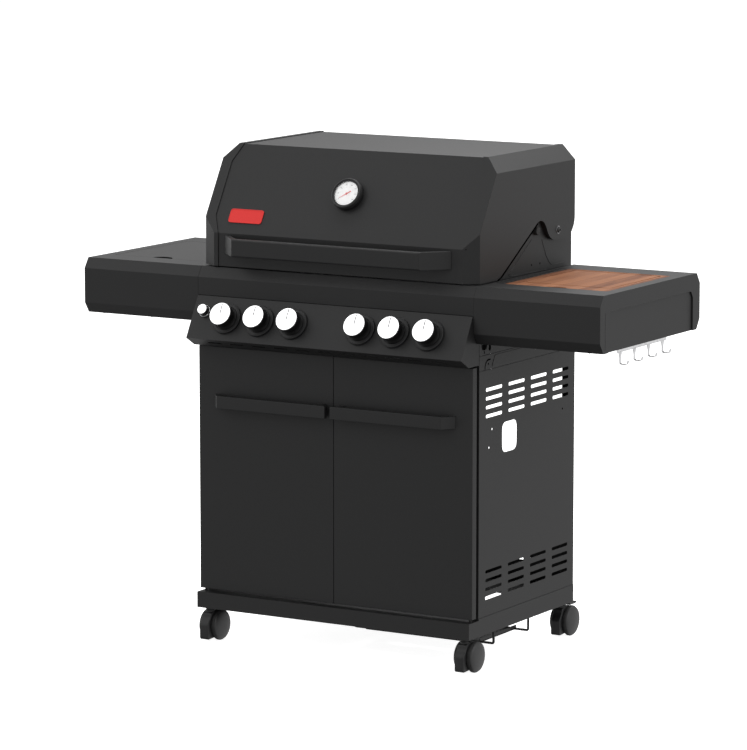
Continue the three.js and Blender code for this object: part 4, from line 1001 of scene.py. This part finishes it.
class BARBECUE_OT_castors(bpy.types.Operator):
    """Add the twin-wheel castors: housings, treads, wheel discs and brake pedals"""
    bl_idname = "barbecue.castors"
    bl_label = "Castors"

    def execute(self, context):
        for name in CASTORS:
            swivel, _ = joint_place(f"swivel_{name}_turn")
            axle, _ = joint_place(f"wheel_{name}_roll")
            self.add_housing(name, swivel, axle)
            self.add_wheels(name, axle)
            self.add_nut(name, swivel)
            if name.startswith("rear"):
                self.add_brake(name, swivel, axle)
        return {"FINISHED"}

    @staticmethod
    def add_housing(name, swivel, axle):
        _, high = span(f"castor_fork_{name}")
        crown, heel = 2 * axle.z, axle.y - swivel.y + axle.z
        half = 12.5
        rear_top = [(heel - 25.5, crown - 5), (heel - 11.5, crown - 19)]
        if name.startswith("rear"):
            rear_top = [(30, crown - 1), (30.5, crown - 9.8), (heel - 17, crown - 10.2),
                        (heel - 11.5, crown - 19)]
        outline = [(-28, 7), (-28, crown - 29), (-16, crown - 15), (-14, crown - 3), (16, crown + 1),
                   *rear_top, (heel - 7.5, crown - 35), (heel - 19.5, 12), (20, 9)]
        bore = [Vector((axle.y - swivel.y + 4.6 * math.cos(a), axle.z + 4.6 * math.sin(a)))
                for a in (math.pi * k / 12 for k in range(24))]
        shell = plate([eased(outline, 6, 5, closed=True), bore], -half, half, 2.2, 3)
        at = lift(swivel.x, swivel.y, 0)
        rib = plate([eased([(-28.6, 12), (-28.6, crown - 32), (-24, crown - 24), (-20, crown - 32),
                            (-20, 12)], 3, closed=True)], -half + 4, half - 4, 1.2, 2)
        collar = lathe([(0, crown - 24), (10.6, crown - 24), (11, crown - 20), (11, crown + 2),
                        (10, crown + 2.8), (9.4, crown + 3.4), (9.4, crown + 5.2), (11, crown + 6),
                        (11, high.z - 17.2), (10.2, high.z - 16.5), (5.5, high.z - 16.5),
                        (5.5, high.z - 1.2), (4.6, high.z), (0, high.z)], 48)
        add_piece(f"castor_housing_{name}", [moved(shell, END_VIEW), moved(rib, END_VIEW)],
                  "plastic", f"swivel_{name}", at,
                  stands_for=(f"castor_fork_{name}",))
        add_piece(f"castor_stem_{name}", [collar], "plastic", f"swivel_{name}",
                  at)

    @staticmethod
    def add_wheels(name, axle):
        inner, radius = 12.8, axle.z
        rim, edge, dome = radius - 2.0, 8.4, 7.6
        disc = [(0, 0.4), (rim, 0.4), (rim, edge)]
        # The outer face is a low dome.
        disc += [(rim * math.cos(a), edge + dome * math.sin(a))
                 for a in (math.pi * k / 32 for k in range(1, 17))]
        disc[-1] = (0, disc[-1][1])
        tread = [(radius - 3.4, 0.3), (radius - 0.6, 0.3), (radius, 0.9), (radius, 2.4), (radius - 0.4, 2.7),
                 (radius - 0.4, 3.0), (radius, 3.3), (radius, 5.4), (radius - 0.5, 6.8), (radius - 1.8, 7.9),
                 (radius - 3.0, 8.1), (radius - 3.4, 7.2), (radius - 3.4, 0.3)]
        discs, treads = [], []
        for sign in (-1, 1):
            at = Matrix.Rotation(math.radians(90 * sign), 4, "Y") @ lift(z=inner)
            discs.append(moved(lathe(disc, 96), at))
            treads.append(moved(lathe(tread, 96), at))
        pin = moved(lathe([(0, -inner - 1), (4, -inner - 1), (4, inner + 1), (0, inner + 1)], 32),
                    Matrix.Rotation(math.radians(90), 4, "Y"))
        place = Matrix.Translation(axle)
        add_piece(f"castor_discs_{name}", discs, "wheel", f"wheels_{name}", place,
                  stands_for=(f"castor_wheels_{name}",))
        add_piece(f"castor_treads_{name}", treads, "rubber", f"wheels_{name}",
                  place)
        add_piece(f"castor_axle_{name}", [pin], "screw", f"wheels_{name}", place)

    @staticmethod
    def add_nut(name, swivel):
        """The hexagon nut that holds a castor's stem under the tray."""
        tray_low, _ = span("base_tray")
        seat = lift(swivel.x, swivel.y, tray_low.z + 3)
        nut = lathe([(5.9, 0.1), (9.6, 0.1), (9.9, 0.5), (9.9, 4.6), (9.2, 5.4), (5.9, 5.4), (5.9, 0.1)], 6)
        add_piece(f"castor_nut_{name}", [moved(nut, seat)], "screw", "cart")

    @staticmethod
    def add_brake(name, swivel, axle):
        crown = 2 * axle.z
        from_stem = axle.y - swivel.y
        outline = [(8.5, -1.6), (9.5, 3.0), (20, 3.8), (36, 4.2), (41.5, 3.4), (42.8, 0.8), (40, -1.6),
                   (24, -1.9)]
        lever = plate([eased([(from_stem + y, crown + z) for y, z in outline], 1.8, 4, closed=True)],
                      -10.5, 10.5, 1.4, 3)
        ridges = [block((-8, from_stem + y - 0.7, crown + 3.7), (8, from_stem + y + 0.7, crown + 4.7), 0.3)
                  for y in (26, 29, 32, 35)]
        add_piece(f"castor_pedal_{name}", [moved(lever, END_VIEW), *ridges], "plastic",
                  f"pedal_{name}", lift(swivel.x, swivel.y, 0),
                  stands_for=(f"castor_brake_{name}",))


class BARBECUE_OT_bottle_cradle(bpy.types.Operator):
    """Add the bent wires and the plate that the gas bottle stands on"""
    bl_idname = "barbecue.bottle_cradle"
    bl_label = "Bottle Cradle"

    def execute(self, context):
        low, high = span("bottle_cradle")
        radius = 3.0
        centre_y = (low.y + high.y) / 2
        wires = []
        for offset in (-86, 86):
            y = centre_y + offset - 0.5
            wires.append(wire([(low.x + radius, y, high.z), (low.x + radius, y, low.z),
                               (high.x - radius + 1.5, y, low.z), (high.x - radius + 1.5, y, high.z)],
                              radius, 5, sides=4))
        left, right = low.x + 37, high.x - 37
        floor = plate([rectangle(left, right, low.y + 0.6, high.y - 0.6, 6),
                       *[slot_at((left + right) / 2 + dx, centre_y, 60, 14, 7, 6) for dx in (-90, 0, 90)]],
                      low.z - 2, low.z + 1, 0.5)
        lips = [block((x, low.y + 6, low.z - 2), (x + 2, high.y - 6, low.z + 9), 0.8)
                for x in (left, right - 2)]
        add_piece("cradle_wires", wires, "coat", "cart",
                  stands_for=("bottle_cradle",))
        add_piece("cradle_plate", [floor, *lips], "coat", "cart")
        return {"FINISHED"}


class BARBECUE_OT_cutting_board(bpy.types.Operator):
    """Add the laminated cutting board with its juice groove and finger grip"""
    bl_idname = "barbecue.cutting_board"
    bl_label = "Cutting Board"

    def execute(self, context):
        low, high = span("cutting_board")
        outline = rectangle(low.x, high.x, low.y, high.y, 3)
        board = add_piece("board_wood", [plate([outline], low.z, high.z, 1.2, 3)], "wood",
                          "board", stands_for=("cutting_board",))
        inset = [(low.x + 24, low.y + 52), (high.x - 19, low.y + 52), (high.x - 19, high.y - 15),
                 (low.x + 24, high.y - 15)]
        groove = wire([(x, y, high.z + 0.9) for x, y in inset], 3.6, 8, closed=True)
        middle = (low.x + high.x) / 2
        grip = plate([eased([(middle - 30, low.y - 6), (middle + 30, low.y - 6), (middle + 24, low.y + 9),
                             (middle - 24, low.y + 9)], 6, closed=True)], high.z - 9, high.z + 6, 1.5, 3)
        carve(board, [groove, grip])
        return {"FINISHED"}


class BARBECUE_OT_hooks(bpy.types.Operator):
    """Add the rail with its four bent steel hooks"""
    bl_idname = "barbecue.hooks"
    bl_label = "Tool Hooks"

    def execute(self, context):
        low, high = span("hook_rail")
        sheet = 1.5
        x = low.x + 18 - sheet / 2
        rail = eased([(low.x + 0.4, high.z - sheet / 2), (x, high.z - sheet / 2), (x, high.z - 13)], 2.6, 5)
        middle = (low.y + high.y) / 2
        shapes = [moved(strip(rail, [high.y - low.y] * len(rail), sheet), lift(y=middle))]
        floor = low.z + sheet / 2
        path = eased([(x, high.z - 11), (x, high.z - 24), (x, floor), (x + 19.2, floor),
                      (high.x - 1.0, floor + 10)], 5, 8)
        widths = []
        for point in path:
            drop = high.z - 11 - point.y
            widths.append(19 - 10 * min(1.0, max(0.0, drop / 13)) if point.x < x + 1 else 9.0)
        first, pitch = low.y + 18, (high.y - low.y - 36) / 3
        shapes += [moved(strip(path, widths, sheet), lift(y=first + pitch * i)) for i in range(4)]
        add_piece("tool_hooks", shapes, "hook", "cart",
                  stands_for=("hook_rail",), edge=0.0003)
        return {"FINISHED"}


class BARBECUE_OT_burners(bpy.types.Operator):
    """Add the tube burners with their ports, and a flame tamer over each"""
    bl_idname = "barbecue.burners"
    bl_label = "Burners"

    def execute(self, context):
        for i in range(1, 5):
            low, high = span(f"burner_{i}")
            x, z = (low.x + high.x) / 2, (low.z + high.z) / 2
            along = lift(x, low.y, z) @ Matrix.Rotation(math.radians(-90), 4, "X")
            run = high.y - low.y
            tube = lathe([(0, 60), (11, 60), (11, 0.4), (11.4, 0), (13, 0), (13.5, 0.6), (13.5, 5.4),
                          (12.9, 6), (12.5, 7), (12.5, run - 6), (11, run - 1.6), (8, run), (0, run)], 56)
            add_piece(f"burner_tube_{i}", [moved(tube, along)], "stainless", "cart",
                      stands_for=(f"burner_{i}",))
            # Each port is a near-black disc on the tube: painted shade of the hole.
            port = lathe([(0, 0.32), (1.2, 0.32), (1.5, 0.1), (1.5, -0.2), (0, -0.2)], 10)
            leans = [Matrix.Rotation(math.radians(lean), 4, "Y") for lean in (-62, 62)]
            ports = [moved(port, lift(x, low.y + y, z) @ lean @ lift(z=12.3))
                     for y in range(70, int(run) - 20, 9) for lean in leans]
            add_piece(f"burner_ports_{i}", ports, "dark", "cart")
            self.add_tamer(i, x, low.y + 22, high.y - 4, high.z)
        return {"FINISHED"}

    @staticmethod
    def add_tamer(i, x, front, rear, burner_top):
        """An inverted V of sheet with slots down both slopes."""
        slope, run = 58.0, rear - front
        tilt = math.radians(28)
        slots = [slot_at(front + run * (k + 0.5) / 7, slope * 0.55, 34, 7, 3.4)
                 for k in range(7)]
        border = rectangle(front, rear, 0.6, slope, 4)
        flank = plate([border, *slots], 0, 1.2, 0.3)
        crest = burner_top + 36
        shapes = []
        for sign in (-1, 1):
            # The flank's outline is (along y, down the slope).
            down = Vector((sign * math.cos(tilt), 0, -math.sin(tilt)))
            out = Vector((sign * math.sin(tilt), 0, math.cos(tilt)))
            place = Matrix(((0, down.x, out.x, x), (1, 0, 0, 0), (0, down.z, out.z, crest), (0, 0, 0, 1)))
            shapes.append(moved(flank, place))
        fold = wire([(x, front + 0.5, crest + 0.4), (x, rear - 0.5, crest + 0.4)], 1.1)
        add_piece(f"flame_tamer_{i}", [*shapes, fold], "stainless", "cart")


class BARBECUE_OT_warming_rack(bpy.types.Operator):
    """Add the wire warming rack"""
    bl_idname = "barbecue.warming_rack"
    bl_label = "Warming Rack"

    def execute(self, context):
        low, high = span("warming_rack")
        z = low.z + 3
        loop = [(low.x + 3, low.y + 3, z), (high.x - 3, low.y + 3, z), (high.x - 3, high.y - 3, z),
                (low.x + 3, high.y - 3, z)]
        shapes = [wire(loop, 3, 14, closed=True, sides=4)]
        count = 26
        for i in range(count):
            x = low.x + 22 + i * (high.x - low.x - 44) / (count - 1)
            shapes.append(wire([(x, low.y + 2.5, z + 2.8), (x, high.y - 2.5, z + 2.8)], 1.6))
        add_piece("warming_rack_wires", shapes, "stainless", "cart",
                  stands_for=("warming_rack",))
        return {"FINISHED"}


class BARBECUE_OT_side_burner(bpy.types.Operator):
    """Add the side burner's head, flame ring and cap"""
    bl_idname = "barbecue.side_burner"
    bl_label = "Side Burner"

    def execute(self, context):
        low, high = span("side_burner")
        centre = (low + high) / 2
        deck = high.z - 13
        crown = lathe([(20, deck - 0.2), (39, deck - 0.2), (40, deck + 0.8), (40, deck + 3.4),
                       (39, deck + 4.2), (20, deck + 4.2), (20, deck - 0.2)], 72)
        cap = lathe([(0, deck + 4.3), (37, deck + 4.3), (38.6, deck + 5), (38.4, deck + 6.4),
                     (35, deck + 7.8), (22, deck + 8.8), (0, deck + 9.2)], 72)
        count = 36
        # Each port is a near-black block on the flame ring: painted shade of the hole.
        port = block((39.6, -0.9, deck + 1.0), (40.3, 0.9, deck + 3.2), 0.2, 1)
        ports = [moved(port, Matrix.Rotation(2 * math.pi * k / count, 4, "Z")) for k in range(count)]
        at = lift(centre.x, centre.y, 0)
        add_piece("side_burner_crown", [crown], "stainless", "cart", at)
        add_piece("side_burner_cap", [cap], "enamel", "cart", at)
        add_piece("side_burner_ports", ports, "dark", "cart", at)
        return {"FINISHED"}


class BARBECUE_OT_shelf_ridges(bpy.types.Operator):
    """Add the pressed ridge that frames the end of each shelf"""
    bl_idname = "barbecue.shelf_ridges"
    bl_label = "Shelf Ridges"

    def execute(self, context):
        for side, sign in SIDES:
            low, high = span(f"shelf_{side}")
            x = sign * (max(abs(low.x), abs(high.x)) - 0.2)
            front, level = low.y + 25.5, high.z - 39
            path = [(x, front, low.z + 8), (x, front, level), (x, high.y - 53, level)]
            add_piece(f"shelf_ridge_{side}", [wire(path, 0.6, 8)], "coat", "cart")
        return {"FINISHED"}


class BARBECUE_OT_fasteners(bpy.types.Operator):
    """Add the screws under the tray and under the shelves"""
    bl_idname = "barbecue.fasteners"
    bl_label = "Fasteners"

    def execute(self, context):
        tray_low, _ = span("base_tray")
        down = Matrix.Rotation(math.pi, 4, "X")
        seats = []
        for name in CASTORS:
            swivel, _ = joint_place(f"swivel_{name}_turn")
            inward_x, inward_y = -math.copysign(1, swivel.x), -math.copysign(1, swivel.y)
            for dx, dy in ((25, 0), (25, 25), (0, 25)):
                seats.append(lift(swivel.x + inward_x * dx, swivel.y + inward_y * dy, tray_low.z) @ down)
        for side, sign in SIDES:
            low, high = span(f"shelf_{side}")
            inner = min(abs(low.x), abs(high.x))
            for y in (low.y + 26, high.y - 26):
                seats += [lift(sign * x, y, low.z) @ down for x in (inner + 10, inner + 150, inner + 290)]
        add_screws("cart_screw", seats)
        return {"FINISHED"}


class BARBECUE_OT_stage(bpy.types.Operator):
    """Set the floor, the soft studio light and the camera"""
    bl_idname = "barbecue.stage"
    bl_label = "Stage"

    def execute(self, context):
        stage = context.scene.barbecue_stage
        self.add_floor(stage)
        self.light_scene(context.scene, stage)
        self.add_camera(context.scene, stage)
        return {"FINISHED"}

    @staticmethod
    def add_floor(stage):
        """A pale disc that glows faintly and is hidden from bounced and reflected rays."""
        radius, drop = 14, 0.0005
        vertices, faces = lathe([(0, 0), (radius, 0)], 96)
        mesh = bpy.data.meshes.new("floor")
        mesh.from_pydata([tuple(v) for v in vertices], [], faces)
        floor = bpy.data.objects.new("floor", mesh)
        bpy.context.scene.collection.objects.link(floor)
        floor.location.z = -drop
        tone = tuple(stage.floor_tone)
        material = surface("pale floor", tone, 0.85, specular=0.1, tones=(3, 2, scaled(tone, 0.985), tone))
        shader_input(material, "Emission Color").default_value = (1, 1, 1, 1)
        shader_input(material, "Emission Strength").default_value = 0.9
        mesh.materials.append(material)
        floor.visible_diffuse = floor.visible_glossy = False

    @staticmethod
    def light_scene(scene, stage):
        world = bpy.data.worlds.new("studio")
        world.use_nodes = True
        tree = world.node_tree
        glow = tree.nodes["Background"]
        glow.inputs["Strength"].default_value = stage.surround
        # The camera sees a brighter backdrop than the one that lights the barbecue.
        backdrop = tree.nodes.new("ShaderNodeBackground")
        backdrop.inputs["Color"].default_value = (1, 1, 1, 1)
        backdrop.inputs["Strength"].default_value = 1.05
        seen = tree.nodes.new("ShaderNodeLightPath")
        mix = tree.nodes.new("ShaderNodeMixShader")
        tree.links.new(seen.outputs["Is Camera Ray"], mix.inputs[0])
        tree.links.new(glow.outputs[0], mix.inputs[1])
        tree.links.new(backdrop.outputs[0], mix.inputs[2])
        tree.links.new(mix.outputs[0], tree.nodes["World Output"].inputs["Surface"])
        place = tree.nodes.new("ShaderNodeTexCoord")
        height = tree.nodes.new("ShaderNodeVectorMath")
        height.operation = "DOT_PRODUCT"
        height.inputs[1].default_value = (0, 0.5, 0.85)
        spread = tree.nodes.new("ShaderNodeMapRange")
        spread.inputs["From Min"].default_value = -1
        ramp = tree.nodes.new("ShaderNodeValToRGB")
        # From below and in front, up and over to behind.
        ramp.color_ramp.elements[0].position, ramp.color_ramp.elements[1].position = 0.1, 0.8
        for position, glow_there in ((0.24, 0.74), (0.62, 0.88)):
            ramp.color_ramp.elements.new(position).color = (glow_there, glow_there, glow_there, 1)
        ramp.color_ramp.elements[0].color = (0.2, 0.2, 0.2, 1)
        ramp.color_ramp.elements[-1].color = (0.6, 0.6, 0.6, 1)
        tree.links.new(place.outputs["Generated"], height.inputs[0])
        tree.links.new(height.outputs["Value"], spread.inputs["Value"])
        tree.links.new(spread.outputs["Result"], ramp.inputs["Fac"])
        tree.links.new(ramp.outputs["Color"], glow.inputs["Color"])
        scene.world = world
        scene.view_settings.view_transform = "Standard"
        add_soft_box("overhead box", (0, 1.6, 4.2), (0, 0.2, 0.8), 4.0, stage.overhead)
        for side, sign in SIDES:
            add_soft_box(f"{side} box", (sign * 4.6, 1.2, 2.0), (0, 0.2, 0.7), 3.0, stage.side)
        add_soft_box("front box", (-2.2, -2.6, 3.4), (0, -0.2, 0.8), 2.0, stage.front)

    @staticmethod
    def add_camera(scene, stage):
        camera = bpy.data.objects.new("camera", bpy.data.cameras.new("camera"))
        scene.collection.objects.link(camera)
        camera.location = stage.place
        level = math.cos(stage.elevation)
        look = Vector((-math.sin(stage.azimuth) * level, math.cos(stage.azimuth) * level,
                       -math.sin(stage.elevation)))
        camera.rotation_mode = "QUATERNION"
        camera.rotation_quaternion = look.to_track_quat("-Z", "Y")
        camera.data.sensor_width = 36.0
        camera.data.lens = stage.lens
        camera.data.clip_start, camera.data.clip_end = 0.1, 100.0
        scene.camera = camera


def add_soft_box(name, place, aim, size, power):
    light = bpy.data.lights.new(name, "AREA")
    light.shape, light.size, light.energy = "SQUARE", size, power
    holder = bpy.data.objects.new(name, light)
    bpy.context.scene.collection.objects.link(holder)
    holder.location = place
    holder.rotation_mode = "QUATERNION"
    holder.rotation_quaternion = (Vector(aim) - Vector(place)).to_track_quat("-Z", "Y")


OPERATORS = (
    BARBECUE_OT_sheet_metal, BARBECUE_OT_side_panels, BARBECUE_OT_back_panel, BARBECUE_OT_knobs,
    BARBECUE_OT_igniter, BARBECUE_OT_gauge, BARBECUE_OT_badge, BARBECUE_OT_hinges,
    BARBECUE_OT_castors, BARBECUE_OT_bottle_cradle, BARBECUE_OT_cutting_board, BARBECUE_OT_hooks,
    BARBECUE_OT_burners, BARBECUE_OT_warming_rack, BARBECUE_OT_side_burner, BARBECUE_OT_shelf_ridges,
    BARBECUE_OT_fasteners, BARBECUE_OT_stage,
)


class BARBECUE_PT_pieces(bpy.types.Panel):
    """Lists the barbecue's settings and the operators that build its pieces"""
    bl_idname = "BARBECUE_PT_pieces"
    bl_label = "Gas Barbecue"
    bl_space_type = "VIEW_3D"
    bl_region_type = "UI"
    bl_category = "Barbecue"

    def draw(self, context):
        for group in SETTINGS:
            box = self.layout.box()
            settings = getattr(context.scene, group)
            for name in settings.bl_rna.properties.keys():
                if name not in ("rna_type", "name"):
                    box.prop(settings, name)
        for operator in OPERATORS:
            self.layout.operator(operator.bl_idname)


def register():
    for cls in (*SETTINGS.values(), *OPERATORS, BARBECUE_PT_pieces):
        bpy.utils.register_class(cls)
    for name, group in SETTINGS.items():
        setattr(bpy.types.Scene, name, bpy.props.PointerProperty(type=group))


def unregister():
    for name in SETTINGS:
        delattr(bpy.types.Scene, name)
    for cls in (BARBECUE_PT_pieces, *reversed(OPERATORS), *reversed(list(SETTINGS.values()))):
        bpy.utils.unregister_class(cls)


def main():
    register()
    for operator in OPERATORS:
        group, name = operator.bl_idname.split(".")
        getattr(getattr(bpy.ops, group), name)()


if __name__ == "__main__":
    main()
